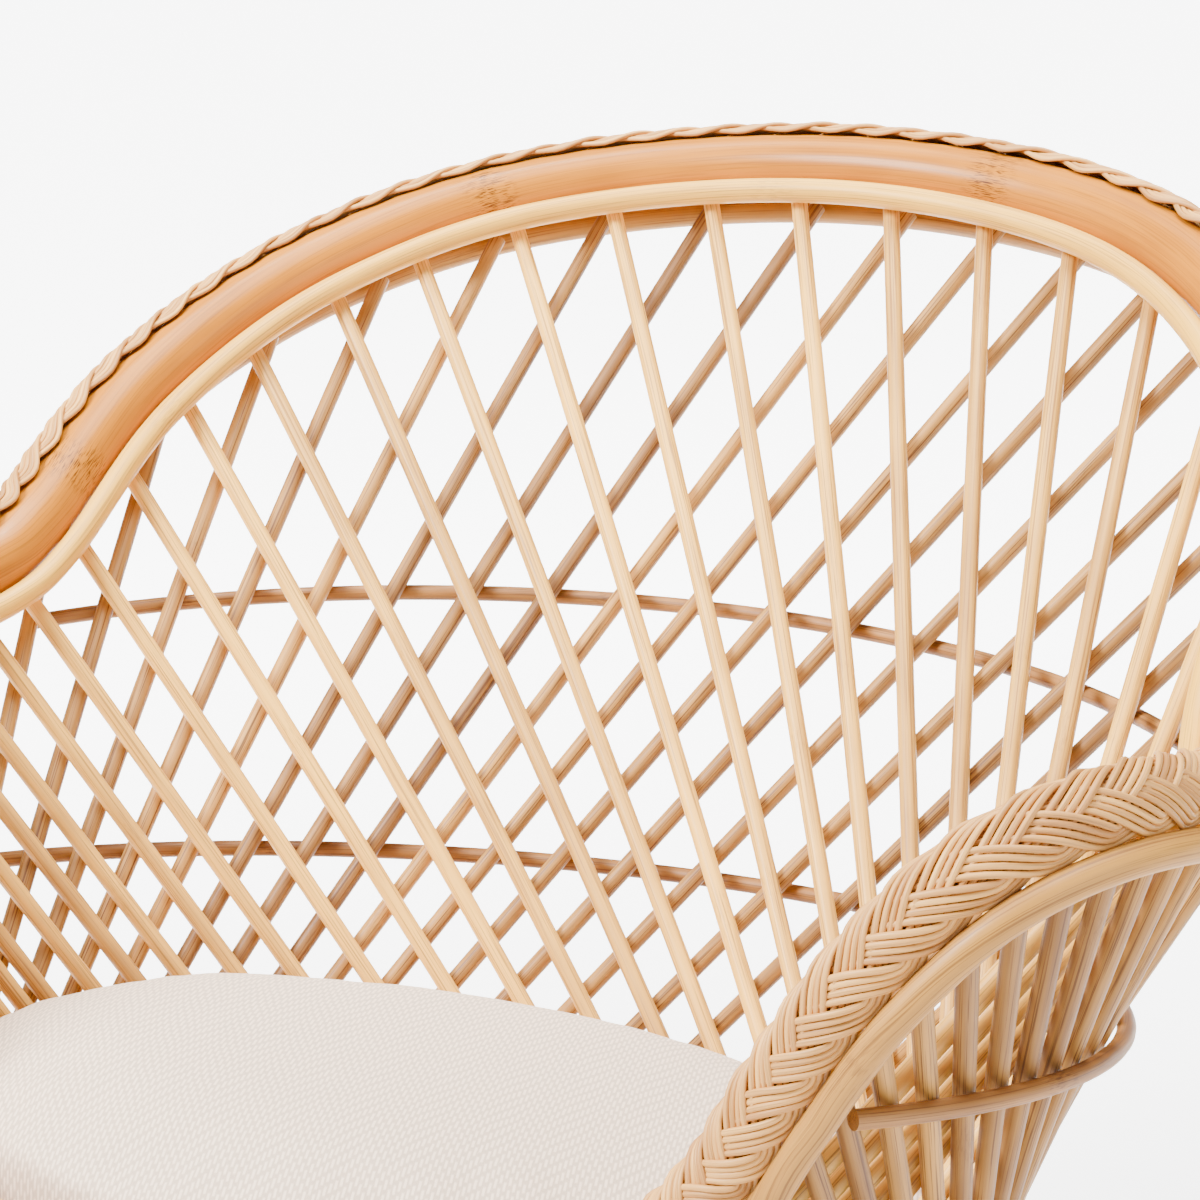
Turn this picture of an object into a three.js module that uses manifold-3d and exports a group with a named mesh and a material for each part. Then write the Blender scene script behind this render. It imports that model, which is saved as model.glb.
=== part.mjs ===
// Peacock chair: an hourglass wall of straight rattan rods in two crossing layers, held at the
// floor by a pair of hoops, at the top by a rim of bent poles with a plaited edge, and round the
// outside by rings. A round pad lies loose on a cane deck inside the wall.
// Millimetres, +Z up, the seat faces -Y, the origin is on the floor under the chair's middle.
import * as THREE from 'three';
import { mergeVertices } from 'three/addons/utils/BufferGeometryUtils.js';
import Module from 'manifold-3d';

const wasm = await Module();
wasm.setup();

// Hourglass wall
const WAIST_HEIGHT = 285;
const WAIST_HALF_WIDTH = 240;
const WAIST_HALF_DEPTH = 204;
const FLARE_HEIGHT = 277; // the wall is 1.41 times its waist at this height above or below it
const BACK_LEAN = 0.17; // travel to the rear for each millimetre of height

// Rods of the lattice
const ROD_DIAMETER = 9;
const RODS_PER_LAYER = 48;
// Waist angles of the rods across the back in degrees from +X; the others share out the rest evenly.
const INNER_BACK_RODS = [
  -10.4, -2.5, 5.5, 12.7, 19.4, 26.3, 32.9, 39.2, 46.3, 53.6, 61.5,
  68.9, 77.3, 85.1, 93.5, 102.1, 110.5, 117.4, 124.1, 129.9, 135.8, 142.2,
];
const OUTER_BACK_RODS = [
  89.1, 97.2, 105.8, 114.6, 122.5, 129.9, 137.1, 144, 150.5, 157.5, 164.4, 171.1, 178.1, 184.7, 191.4,
];
const RODS_PER_PANEL = 2; // rods of each layer that are pinned together as one panel
const ROD_SIDES = 6;
const ROD_FOOT = 5; // height of the rods' lower ends above the floor
const LAYER_GAP = 0.6; // between the surfaces of the two layers at the waist
const PIN_DIAMETER = 3;
const PIN_SIDES = 4;

// Rim, with heights above the waist along the inner pole
const HOOP_HEIGHT = 460;
const SADDLE_HEIGHT = 276;
const ARM_HEIGHT = 294;
const FRONT_HEIGHT = 108;
const HOOP_POLE_DIAMETER = 35;
const ARM_POLE_DIAMETER = 24;
const RIM_POLE_INSET = 8; // the rim pole's axis lies this far inside the middle of the wall
const SLIM_POLE_DIAMETER = 13;
const HOOP_OUTER_LIFT = 9.5; // the outer slim pole sits this much higher on the wall than the inner
const ARM_OUTER_LIFT = 15;
const ROD_END_CORNER = 1.1; // a slanting rod's end has one corner this much higher than its middle
const BRAID_THICKNESS = 8.5;
const HOOP_BRAID_INSIDE = 35; // degrees of the rim pole that the plait covers from its crest inwards
const HOOP_BRAID_OUTSIDE = 70; // and from its crest outwards
const ARM_BRAID_INSIDE = 50;
const ARM_BRAID_OUTSIDE = 72;
const HOOP_REACH = 92; // degrees from the middle of the back to the joint with an arm
const TAPER_START = 70; // degrees at which the hoop's pole starts to thin towards that joint
const ARM_REACH = 150; // degrees from the middle of the back to the joint with the front

// Outer rings
const RING_DIAMETER = 8;
const UPPER_RING_HEIGHT = 262.5;
const UPPER_RING_SLOPE = [-0.011, 0.038]; // travel upwards for each millimetre to +X and to the rear
const UPPER_RING_REACH = 70; // degrees from the middle of the back to either end
const LOWER_RING_HEIGHT = 189.5;
const LOWER_RING_SLOPE = [0.024, -0.136];
const LOWER_RING_REACH = 122;
const WAIST_RING_DIAMETER = 13;

// Floor hoops and seat
const FLOOR_HOOP_DIAMETER = 20;
const SEAT_RISE = 52; // height of the seat hoop above the waist, at the chair's middle
const SEAT_PITCH = 6; // degrees that the seat slopes down to the rear
const SEAT_HOOP_DIAMETER = 18;
const SEAT_BAR_DIAMETER = 17;
const SEAT_BAR_COUNT = 3;
const SEAT_BAR_SPACING = 110;
const DECK_THICKNESS = 6;
const DECK_INSET = 3;
const CUSHION_EDGE = 50;
const CUSHION_CROWN = 20;
const CUSHION_BACK_INSET = 5;
const CUSHION_FRONT_INSET = 26;
const CUSHION_TUCK = 8; // how far the pad's upper and lower edges draw in from its widest line

// Fits
const CLEARANCE = 0.5; // between pieces that are nailed or bound against each other
const JOINT_GAP = 0.3; // between the ends of poles that meet

// Facets
const HOOP_STEPS = 50;
const ARM_STEPS = 24;
const FRONT_STEPS = 12;
const RING_STEPS = 54;
const CUSHION_AROUND = 48;

const DEGREE = Math.PI / 180;
const LAYER_OFFSET = (ROD_DIAMETER + LAYER_GAP) / 2;
const ROD_RADIUS = ROD_DIAMETER / 2;
const SLIM_RADIUS = SLIM_POLE_DIAMETER / 2;

const finish = (color, roughness) => new THREE.MeshStandardMaterial({ color, roughness, metalness: 0 });
const VARNISHED_POLE = finish(0xd9a066, 0.35);
const PEELED_POLE = finish(0xe4c8a0, 0.5);
const INNER_ROD = finish(0xebcdaa, 0.5);
const RING_ROD = finish(0xbe966f, 0.55);
const PLAIT = finish(0xcda97c, 0.6);
const CANE_DECK = finish(0xd8b98a, 0.65);
const COTTON = finish(0xe8e0d8, 0.9);

const chair = new THREE.Group();
const frame = new THREE.Group();
chair.add(frame);

// The hourglass wall

// How much wider the wall is than its waist, at a height above the waist.
function wallScale(height) {
  return Math.hypot(1, height / FLARE_HEIGHT);
}

// A point of the wall; spread moves it to a layer outside or inside the middle one.
function wallPoint(angle, height, spread = 0) {
  const scale = wallScale(height);
  return new THREE.Vector3(
    (WAIST_HALF_WIDTH + spread) * scale * Math.cos(angle),
    (WAIST_HALF_DEPTH + spread) * scale * Math.sin(angle) + BACK_LEAN * height,
    WAIST_HEIGHT + height,
  );
}

// The wall's outward normal.
function wallNormal(angle, height) {
  const across = wallScale(height) * Math.cos(angle) / WAIST_HALF_WIDTH;
  const along = wallScale(height) * Math.sin(angle) / WAIST_HALF_DEPTH;
  return new THREE.Vector3(across, along, -BACK_LEAN * along - height / FLARE_HEIGHT ** 2).normalize();
}

// Distance from the middle of the wall to the axes of either layer of rods.
function layerDistance(angle, height) {
  const outward = new THREE.Vector3(Math.cos(angle), Math.sin(angle), 0).multiplyScalar(wallScale(height));
  return LAYER_OFFSET * outward.dot(wallNormal(angle, height));
}

// How deep a point lies inside the inner layer's axes, measured square to the wall.
function depthInside(point) {
  const height = point.z - WAIST_HEIGHT;
  const across = point.x / (WAIST_HALF_WIDTH - LAYER_OFFSET);
  const along = (point.y - BACK_LEAN * height) / (WAIST_HALF_DEPTH - LAYER_OFFSET);
  const value = across ** 2 + along ** 2 - 1 - (height / FLARE_HEIGHT) ** 2;
  const slope = new THREE.Vector3(
    2 * across / (WAIST_HALF_WIDTH - LAYER_OFFSET),
    2 * along / (WAIST_HALF_DEPTH - LAYER_OFFSET),
    -2 * BACK_LEAN * along / (WAIST_HALF_DEPTH - LAYER_OFFSET) - 2 * height / FLARE_HEIGHT ** 2,
  );
  return -value / slope.length();
}

// Solid helpers

function closedMesh(positions, triangles) {
  const geometry = new THREE.BufferGeometry();
  const numbers = positions.flatMap((point) => point.toArray());
  geometry.setAttribute('position', new THREE.Float32BufferAttribute(numbers, 3));
  geometry.setIndex(triangles);
  geometry.computeVertexNormals();
  return geometry;
}

// Skins a row of equal rings of points; a loop joins its last ring to its first.
function loft(rings, loop) {
  const sides = rings[0].length;
  const triangles = [];
  const spans = loop ? rings.length : rings.length - 1;
  for (let row = 0; row < spans; row += 1) {
    const next = (row + 1) % rings.length;
    for (let side = 0; side < sides; side += 1) {
      const beside = (side + 1) % sides;
      const near = [row * sides + side, row * sides + beside];
      const far = [next * sides + side, next * sides + beside];
      triangles.push(near[0], near[1], far[1], near[0], far[1], far[0]);
    }
  }
  const points = rings.flat();
  if (!loop) {
    const last = (rings.length - 1) * sides;
    capTriangles(rings[0]).forEach(([a, b, c]) => triangles.push(a, c, b));
    capTriangles(rings.at(-1)).forEach(([a, b, c]) => triangles.push(last + a, last + b, last + c));
  }
  return outward(closedMesh(points, triangles));
}

// Triangles that close a flat ring of points, which may be hollow on one side.
function capTriangles(ring) {
  const origin = ring[0];
  const spread = new THREE.Vector3();
  ring.forEach((point, index) => {
    const next = ring[(index + 1) % ring.length];
    spread.add(point.clone().sub(origin).cross(next.clone().sub(origin)));
  });
  spread.normalize();
  const across = ring[1].clone().sub(origin).normalize();
  const up = spread.clone().cross(across);
  const outline = ring.map((point) => {
    const arm = point.clone().sub(origin);
    return new THREE.Vector2(arm.dot(across), arm.dot(up));
  });
  return THREE.ShapeUtils.triangulateShape(outline, []);
}

// Turns a closed mesh right side out.
function outward(geometry) {
  const place = geometry.getAttribute('position');
  const index = geometry.getIndex().array;
  const corner = [new THREE.Vector3(), new THREE.Vector3(), new THREE.Vector3()];
  let volume = 0;
  for (let face = 0; face < index.length; face += 3) {
    corner.forEach((point, k) => point.fromBufferAttribute(place, index[face + k]));
    volume += corner[0].dot(corner[1].clone().cross(corner[2]));
  }
  if (volume < 0) {
    const turned = [];
    for (let face = 0; face < index.length; face += 3) {
      turned.push(index[face], index[face + 2], index[face + 1]);
    }
    geometry.setIndex(turned);
  }
  return geometry;
}

function toSolid(geometry) {
  const bare = geometry.clone();
  bare.deleteAttribute('normal');
  bare.deleteAttribute('uv');
  const welded = mergeVertices(bare, 1e-4);
  return new wasm.Manifold(new wasm.Mesh({
    numProp: 3,
    vertProperties: new Float32Array(welded.getAttribute('position').array),
    triVerts: new Uint32Array(welded.getIndex().array),
  }));
}

function fromSolid(solid) {
  const mesh = solid.getMesh();
  const geometry = new THREE.BufferGeometry();
  geometry.setAttribute('position', new THREE.Float32BufferAttribute(mesh.vertProperties, 3));
  geometry.setIndex([...mesh.triVerts]);
  geometry.computeVertexNormals();
  return geometry;
}

function addPiece(name, geometry, material, parent = frame) {
  const mesh = new THREE.Mesh(geometry, material.clone());
  mesh.name = name;
  parent.add(mesh);
  return mesh;
}

// A round bar between two points.
function bar(start, end, radius, sides) {
  const geometry = new THREE.CylinderGeometry(radius, radius, start.distanceTo(end), sides);
  const along = end.clone().sub(start).normalize();
  const turn = new THREE.Quaternion().setFromUnitVectors(new THREE.Vector3(0, 1, 0), along);
  geometry.applyQuaternion(turn);
  const middle = start.clone().add(end).multiplyScalar(0.5);
  return geometry.translate(middle.x, middle.y, middle.z);
}

// The rim's course: angle from the middle of the back and height of the inner pole

const HOOP_FALL = HOOP_HEIGHT - SADDLE_HEIGHT;
const ARM_FALL = ARM_HEIGHT - FRONT_HEIGHT;
const RIM_COURSE = [
  [0, HOOP_HEIGHT],
  [20, HOOP_HEIGHT - 0.084 * HOOP_FALL],
  [34.5, HOOP_HEIGHT - 0.274 * HOOP_FALL],
  [49, HOOP_HEIGHT - 0.58 * HOOP_FALL],
  [61, HOOP_HEIGHT - 0.875 * HOOP_FALL],
  [75, SADDLE_HEIGHT],
  [112, ARM_HEIGHT],
  [118.5, ARM_HEIGHT - 0.06 * ARM_FALL],
  [122.5, ARM_HEIGHT - 0.234 * ARM_FALL],
  [124.8, ARM_HEIGHT - 0.481 * ARM_FALL],
  [127, ARM_HEIGHT - 0.71 * ARM_FALL],
  [132, ARM_HEIGHT - 0.876 * ARM_FALL],
  [142, ARM_HEIGHT - 0.96 * ARM_FALL],
  [158, FRONT_HEIGHT],
  [180, FRONT_HEIGHT],
];
const COURSE_SAMPLES = 480;
const COURSE_SCALE = WAIST_HALF_WIDTH * DEGREE;

function rimCourse() {
  const before = RIM_COURSE[1];
  const after = RIM_COURSE.at(-2);
  const stops = [[-before[0], before[1]], ...RIM_COURSE, [360 - after[0], after[1]]];
  const half = new THREE.CatmullRomCurve3(
    stops.map(([degrees, height]) => new THREE.Vector3(degrees * COURSE_SCALE, height, 0)),
    false,
    'centripetal',
  );
  const margin = 1 / (stops.length - 1);
  const right = Array.from({ length: COURSE_SAMPLES + 1 }, (_, sample) => {
    const point = half.getPoint(THREE.MathUtils.lerp(margin, 1 - margin, sample / COURSE_SAMPLES));
    return { degrees: point.x / COURSE_SCALE, height: point.y };
  });
  const left = right.slice(1).reverse().map((stop) => ({ degrees: -stop.degrees, height: stop.height }));
  const course = [...left, ...right];
  let length = 0;
  course.forEach((stop, index) => {
    stop.place = wallPoint((90 - stop.degrees) * DEGREE, stop.height);
    if (index > 0) {
      length += stop.place.distanceTo(course[index - 1].place);
    }
    stop.length = length;
  });
  return course;
}

const COURSE = rimCourse();
const RIM_LENGTH = COURSE.at(-1).length;

function between(stops, key, value, wanted) {
  const last = stops.findIndex((stop) => stop[key] >= value);
  if (last <= 0) {
    return stops[last < 0 ? stops.length - 1 : 0][wanted];
  }
  const [low, high] = [stops[last - 1], stops[last]];
  return THREE.MathUtils.mapLinear(value, low[key], high[key], low[wanted], high[wanted]);
}

// How far the rim has changed from the hoop's sizes to the arms' sizes.
function armShare(degrees) {
  return THREE.MathUtils.smoothstep(Math.abs(degrees), TAPER_START, HOOP_REACH);
}

// The rim at a length along its course: its place, its tangent, the wall's normal and the way up.
function rimFrame(length) {
  const wrapped = THREE.MathUtils.euclideanModulo(length, RIM_LENGTH);
  const degrees = between(COURSE, 'length', wrapped, 'degrees');
  const angle = (90 - degrees) * DEGREE;
  const height = between(COURSE, 'length', wrapped, 'height');
  const reach = 4;
  const ahead = coursePoint(length + reach);
  const tangent = ahead.sub(coursePoint(length - reach)).normalize();
  const normal = wallNormal(angle, height);
  normal.addScaledVector(tangent, -normal.dot(tangent)).normalize();
  return {
    place: wallPoint(angle, height),
    tangent,
    normal,
    up: tangent.clone().cross(normal),
    layer: layerDistance(angle, height),
    radius: THREE.MathUtils.lerp(HOOP_POLE_DIAMETER, ARM_POLE_DIAMETER, armShare(degrees)) / 2,
    share: armShare(degrees),
  };
}

function coursePoint(length) {
  const wrapped = THREE.MathUtils.euclideanModulo(length, RIM_LENGTH);
  const angle = (90 - between(COURSE, 'length', wrapped, 'degrees')) * DEGREE;
  return wallPoint(angle, between(COURSE, 'length', wrapped, 'height'));
}

// Where the rim's members lie beside the wall: out along its normal and up along its surface
function slimOffset(stop) {
  return stop.layer + ROD_RADIUS + SLIM_RADIUS + CLEARANCE;
}

function rimLift(stop) {
  const aside = slimOffset(stop) - RIM_POLE_INSET;
  return Math.sqrt(Math.max(0, (stop.radius + SLIM_RADIUS + CLEARANCE) ** 2 - aside ** 2));
}

// The outer slim pole closes in over the ends of the outer rods, as far as the rim pole lets it.
function outerPole(stop) {
  const touch = SLIM_RADIUS + CLEARANCE;
  const lift = THREE.MathUtils.lerp(HOOP_OUTER_LIFT, ARM_OUTER_LIFT, stop.share);
  const below = rimLift(stop) - lift;
  const besidePole = Math.sqrt((stop.radius + touch) ** 2 - below ** 2) - RIM_POLE_INSET;
  const near = stop.layer - ROD_RADIUS + RIM_POLE_INSET;
  const rodEnd = rimLift(stop) - Math.sqrt((stop.radius + CLEARANCE) ** 2 - near ** 2);
  const above = THREE.MathUtils.clamp(lift - rodEnd - ROD_END_CORNER, 0, touch);
  const besideRods = stop.layer + ROD_RADIUS + Math.sqrt(touch ** 2 - above ** 2);
  return [Math.max(besidePole, besideRods), lift];
}

function beside(stop, out, up) {
  return stop.place.clone().addScaledVector(stop.normal, out).addScaledVector(stop.up, up);
}

function circle(sides, radius, turn = 0) {
  return Array.from({ length: sides }, (_, side) => {
    const angle = turn + 2 * Math.PI * side / sides;
    return new THREE.Vector2(radius * Math.cos(angle), radius * Math.sin(angle));
  });
}

const BRAID_POINTS = 5;

function braidSection(stop) {
  const inside = THREE.MathUtils.lerp(HOOP_BRAID_INSIDE, ARM_BRAID_INSIDE, stop.share);
  const outside = THREE.MathUtils.lerp(HOOP_BRAID_OUTSIDE, ARM_BRAID_OUTSIDE, stop.share);
  const wrap = (inside + outside) * DEGREE;
  const first = (90 - outside) * DEGREE;
  const arc = (distance, forward) => Array.from({ length: BRAID_POINTS }, (_, point) => {
    const share = point / (BRAID_POINTS - 1);
    const angle = first + (forward ? share : 1 - share) * wrap;
    return new THREE.Vector2(distance * Math.cos(angle), distance * Math.sin(angle));
  });
  const inner = (stop.radius + CLEARANCE) / Math.cos(wrap / (2 * (BRAID_POINTS - 1)));
  return [...arc(inner + BRAID_THICKNESS, true), ...arc(inner, false)];
}

function rimMember(stops, section, centre) {
  return loft(stops.map((stop) => {
    const [out, up] = centre(stop);
    return section(stop).map((point) => beside(stop, out + point.x, up + point.y));
  }), false);
}

const RIM_SIDES = 9;
const SLIM_SIDES = 6;

function rimSegment(name, fromDegrees, toDegrees, steps) {
  const start = between(COURSE, 'degrees', Math.max(fromDegrees, -180), 'length') + JOINT_GAP / 2;
  const wraps = toDegrees > 180;
  const finishDegrees = wraps ? toDegrees - 360 : toDegrees;
  const lap = wraps ? RIM_LENGTH : 0;
  const end = between(COURSE, 'degrees', finishDegrees, 'length') + lap - JOINT_GAP / 2;
  const stops = Array.from({ length: steps + 1 }, (_, step) => (
    rimFrame(THREE.MathUtils.lerp(start, end, step / steps))
  ));
  const axis = (stop) => [-RIM_POLE_INSET, rimLift(stop)];
  const round = (stop) => circle(RIM_SIDES, stop.radius);
  const slim = () => circle(SLIM_SIDES, SLIM_RADIUS);
  const within = (stop) => [-slimOffset(stop), 0];
  addPiece(`${name}_pole`, rimMember(stops, round, axis), VARNISHED_POLE);
  addPiece(`${name}_braid`, rimMember(stops, braidSection, axis), PLAIT);
  addPiece(`${name}_inner_pole`, rimMember(stops, slim, within), PEELED_POLE);
  addPiece(`${name}_outer_pole`, rimMember(stops, slim, outerPole), PEELED_POLE);
}

rimSegment('hoop', -HOOP_REACH, HOOP_REACH, HOOP_STEPS);
rimSegment('arm_right', HOOP_REACH, ARM_REACH, ARM_STEPS);
rimSegment('arm_left', -ARM_REACH, -HOOP_REACH, ARM_STEPS);
rimSegment('front', ARM_REACH, 360 - ARM_REACH, FRONT_STEPS);

// The rim pole's axis as closely spaced stops, which the rods end against
const AXIS_STOPS = 600;
const rimAxis = Array.from({ length: AXIS_STOPS }, (_, index) => {
  const stop = rimFrame(RIM_LENGTH * index / AXIS_STOPS);
  return { place: beside(stop, -RIM_POLE_INSET, rimLift(stop)), radius: stop.radius };
});

// The lattice

// Waist angles of a whole layer: the back's rods, then the rest at equal steps round the front.
function layerAngles(back) {
  const rest = RODS_PER_LAYER - back.length;
  const step = (360 - back.at(-1) + back[0]) / (rest + 1);
  const front = Array.from({ length: rest }, (_, index) => back.at(-1) + (index + 1) * step);
  return [...back, ...front].map((degrees) => degrees * DEGREE);
}

// A rod is a straight line of the wall: its point at a height above the waist.
function rodPoint(rod, height) {
  const lean = rod.way * height / FLARE_HEIGHT;
  const spread = rod.layer * LAYER_OFFSET;
  return new THREE.Vector3(
    (WAIST_HALF_WIDTH + spread) * (Math.cos(rod.angle) - lean * Math.sin(rod.angle)),
    (WAIST_HALF_DEPTH + spread) * (Math.sin(rod.angle) + lean * Math.cos(rod.angle)) + BACK_LEAN * height,
    WAIST_HEIGHT + height,
  );
}

// The height at which a rod comes up against the rim pole: stepped up to, then narrowed down.
const RISE_STEP = 6;
const RISE_PASSES = 8;

function rodTop(rod) {
  const along = rodPoint(rod, 1).sub(rodPoint(rod, 0)).normalize();
  const across = new THREE.Vector3(0, 0, 1).cross(along).normalize();
  const over = along.clone().cross(across);
  const edge = circle(2 * ROD_SIDES, ROD_RADIUS);
  const clear = (height) => edge.every((spot) => {
    const point = rodPoint(rod, height).addScaledVector(across, spot.x).addScaledVector(over, spot.y);
    return rimAxis.every((stop) => stop.place.distanceTo(point) > stop.radius + CLEARANCE);
  });
  let free = 0;
  while (clear(free + RISE_STEP)) {
    free += RISE_STEP;
  }
  let stopped = free + RISE_STEP;
  for (let pass = 0; pass < RISE_PASSES; pass += 1) {
    const middle = (free + stopped) / 2;
    if (clear(middle)) {
      free = middle;
    } else {
      stopped = middle;
    }
  }
  return free;
}

const innerRods = layerAngles(INNER_BACK_RODS).map((angle) => ({ angle, way: 1, layer: -1 }));
const outerRods = layerAngles(OUTER_BACK_RODS).map((angle) => ({ angle, way: -1, layer: 1 }));

// The angle by which an outer rod lies further round the waist than an inner one, at most half a turn.
function turnBetween(inner, outer) {
  return Math.atan2(Math.sin(outer.angle - inner.angle), Math.cos(outer.angle - inner.angle));
}

// The outer layer is listed from the rod next after the first inner one: equal numbers lie together.
const firstOuter = outerRods.findIndex((rod, index) => (
  turnBetween(innerRods[0], rod) >= 0 && turnBetween(innerRods[0], outerRods.at(index - 1)) < 0
));
outerRods.push(...outerRods.splice(0, firstOuter));

function rodBar(rod) {
  return bar(rodPoint(rod, ROD_FOOT - WAIST_HEIGHT), rodPoint(rod, rodTop(rod)), ROD_RADIUS, ROD_SIDES);
}

// The pin that nails an inner rod to an outer one where they cross.
function crossingPin(inner, outer) {
  const height = FLARE_HEIGHT * Math.tan(turnBetween(inner, outer) / 2);
  return bar(rodPoint(inner, height), rodPoint(outer, height), PIN_DIAMETER / 2, PIN_SIDES);
}

function latticePanel(first) {
  const inner = innerRods.slice(first, first + RODS_PER_PANEL);
  const outer = outerRods.slice(first, first + RODS_PER_PANEL);
  let panel = null;
  const join = (geometry) => {
    panel = panel ? panel.add(toSolid(geometry)) : toSolid(geometry);
  };
  [...inner, ...outer].forEach((rod) => join(rodBar(rod)));
  inner.forEach((rod, index) => {
    join(crossingPin(rod, outer[index]));
    if (index + 1 < outer.length) {
      join(crossingPin(rod, outer[index + 1]));
    }
  });
  return fromSolid(panel);
}

for (let first = 0; first < RODS_PER_LAYER; first += RODS_PER_PANEL) {
  const label = String(first / RODS_PER_PANEL + 1).padStart(2, '0');
  addPiece(`lattice_panel_${label}`, latticePanel(first), INNER_ROD);
}

// Rings nailed round the outside of the wall
const RING_SIDES = 6;

function outerRing(height, slope, reachDegrees, radius) {
  const section = circle(RING_SIDES, radius);
  const loop = reachDegrees >= 180;
  const stops = loop ? RING_STEPS : RING_STEPS + 1;
  const angles = Array.from({ length: stops }, (_, stop) => (
    (90 - reachDegrees + 2 * reachDegrees * stop / RING_STEPS) * DEGREE
  ));
  return loft(angles.map((angle) => {
    let level = height;
    for (let pass = 0; pass < 6; pass += 1) {
      const point = wallPoint(angle, level);
      level = height + slope[0] * point.x + slope[1] * point.y;
    }
    const normal = wallNormal(angle, level);
    const upward = new THREE.Vector3(0, 0, 1).addScaledVector(normal, -normal.z).normalize();
    const out = layerDistance(angle, level) + ROD_RADIUS + radius + CLEARANCE;
    return section.map((point) => wallPoint(angle, level)
      .addScaledVector(normal, out + point.x).addScaledVector(upward, point.y));
  }), loop);
}

const RING_RADIUS = RING_DIAMETER / 2;
const upperRing = outerRing(UPPER_RING_HEIGHT, UPPER_RING_SLOPE, UPPER_RING_REACH, RING_RADIUS);
const lowerRing = outerRing(LOWER_RING_HEIGHT, LOWER_RING_SLOPE, LOWER_RING_REACH, RING_RADIUS);
const waistRing = outerRing(0, [0, 0], 180, WAIST_RING_DIAMETER / 2);
addPiece('upper_ring', upperRing, RING_ROD);
addPiece('lower_ring', lowerRing, RING_ROD);
addPiece('waist_ring', waistRing, PEELED_POLE);

// Floor hoops inside and outside the rods' feet, with a flat side down
const FLOOR_SIDES = 8;

function floorHoop(side) {
  const flatRadius = FLOOR_HOOP_DIAMETER / 2;
  const cornerRadius = flatRadius / Math.cos(Math.PI / FLOOR_SIDES);
  const section = circle(FLOOR_SIDES, cornerRadius, Math.PI / FLOOR_SIDES);
  const height = flatRadius - WAIST_HEIGHT;
  return loft(Array.from({ length: RING_STEPS }, (_, stop) => {
    const angle = 2 * Math.PI * stop / RING_STEPS;
    const normal = wallNormal(angle, height);
    const level = new THREE.Vector3(normal.x, normal.y, 0).normalize();
    const away = layerDistance(angle, height) + ROD_RADIUS + cornerRadius + CLEARANCE;
    const out = side * away / normal.dot(level);
    const upward = new THREE.Vector3(0, 0, 1);
    return section.map((point) => wallPoint(angle, height)
      .addScaledVector(level, out + point.x).addScaledVector(upward, point.y));
  }), true);
}

addPiece('floor_hoop_inner', floorHoop(-1), PEELED_POLE);
addPiece('floor_hoop_outer', floorHoop(1), PEELED_POLE);

// The seat, in its own tilted group: its level is the axis of the seat hoop
const seat = new THREE.Group();
seat.position.z = WAIST_HEIGHT + SEAT_RISE;
seat.rotation.x = -SEAT_PITCH * DEGREE;
seat.updateMatrix();
frame.add(seat);

const SEARCH_PASSES = 40;

// How far from the seat's middle, in a direction, a point lies a set depth inside the rods' axes.
function seatReach(direction, level, depth) {
  let near = 0;
  let far = 2 * WAIST_HALF_WIDTH;
  for (let pass = 0; pass < SEARCH_PASSES; pass += 1) {
    const middle = (near + far) / 2;
    const point = new THREE.Vector3(middle * Math.cos(direction), middle * Math.sin(direction), level);
    if (depthInside(point.applyMatrix4(seat.matrix)) > depth) {
      near = middle;
    } else {
      far = middle;
    }
  }
  return near;
}

function seatPoint(direction, level, depth) {
  const reach = seatReach(direction, level, depth);
  return new THREE.Vector3(reach * Math.cos(direction), reach * Math.sin(direction), level);
}

const SEAT_HOOP_RADIUS = SEAT_HOOP_DIAMETER / 2;
const SEAT_HOOP_CORNER = SEAT_HOOP_RADIUS / Math.cos(Math.PI / FLOOR_SIDES);
const SEAT_HOOP_DEPTH = ROD_RADIUS + SEAT_HOOP_CORNER + CLEARANCE;

function seatHoop() {
  const section = circle(FLOOR_SIDES, SEAT_HOOP_CORNER, Math.PI / FLOOR_SIDES);
  return loft(Array.from({ length: RING_STEPS }, (_, stop) => {
    const direction = 2 * Math.PI * stop / RING_STEPS;
    const centre = seatPoint(direction, 0, SEAT_HOOP_DEPTH);
    const out = new THREE.Vector3(Math.cos(direction), Math.sin(direction), 0);
    return section.map((point) => centre.clone().addScaledVector(out, point.x).setZ(point.y));
  }), true);
}

addPiece('seat_hoop', seatHoop(), PEELED_POLE, seat);

// Bars that cross the seat hoop from front to rear and end against it.
const BAR_RADIUS = SEAT_BAR_DIAMETER / 2;
const BAR_SIDES = 8;

function barEnd(across, way) {
  const depth = SEAT_HOOP_DEPTH + SEAT_HOOP_CORNER + CLEARANCE;
  let near = 0;
  let far = way * 2 * WAIST_HALF_DEPTH;
  const clear = (along) => [across - BAR_RADIUS, across + BAR_RADIUS].every((x) => (
    depthInside(new THREE.Vector3(x, along, 0).applyMatrix4(seat.matrix)) > depth
  ));
  for (let pass = 0; pass < SEARCH_PASSES; pass += 1) {
    const middle = (near + far) / 2;
    if (clear(middle)) {
      near = middle;
    } else {
      far = middle;
    }
  }
  return near;
}

for (let count = 0; count < SEAT_BAR_COUNT; count += 1) {
  const across = (count - (SEAT_BAR_COUNT - 1) / 2) * SEAT_BAR_SPACING;
  const level = SEAT_HOOP_RADIUS - BAR_RADIUS;
  const start = new THREE.Vector3(across, barEnd(across, -1), level);
  const end = new THREE.Vector3(across, barEnd(across, 1), level);
  addPiece(`seat_bar_${count + 1}`, bar(start, end, BAR_RADIUS, BAR_SIDES), PEELED_POLE, seat);
}

const DECK_BASE = SEAT_HOOP_RADIUS + JOINT_GAP;

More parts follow.
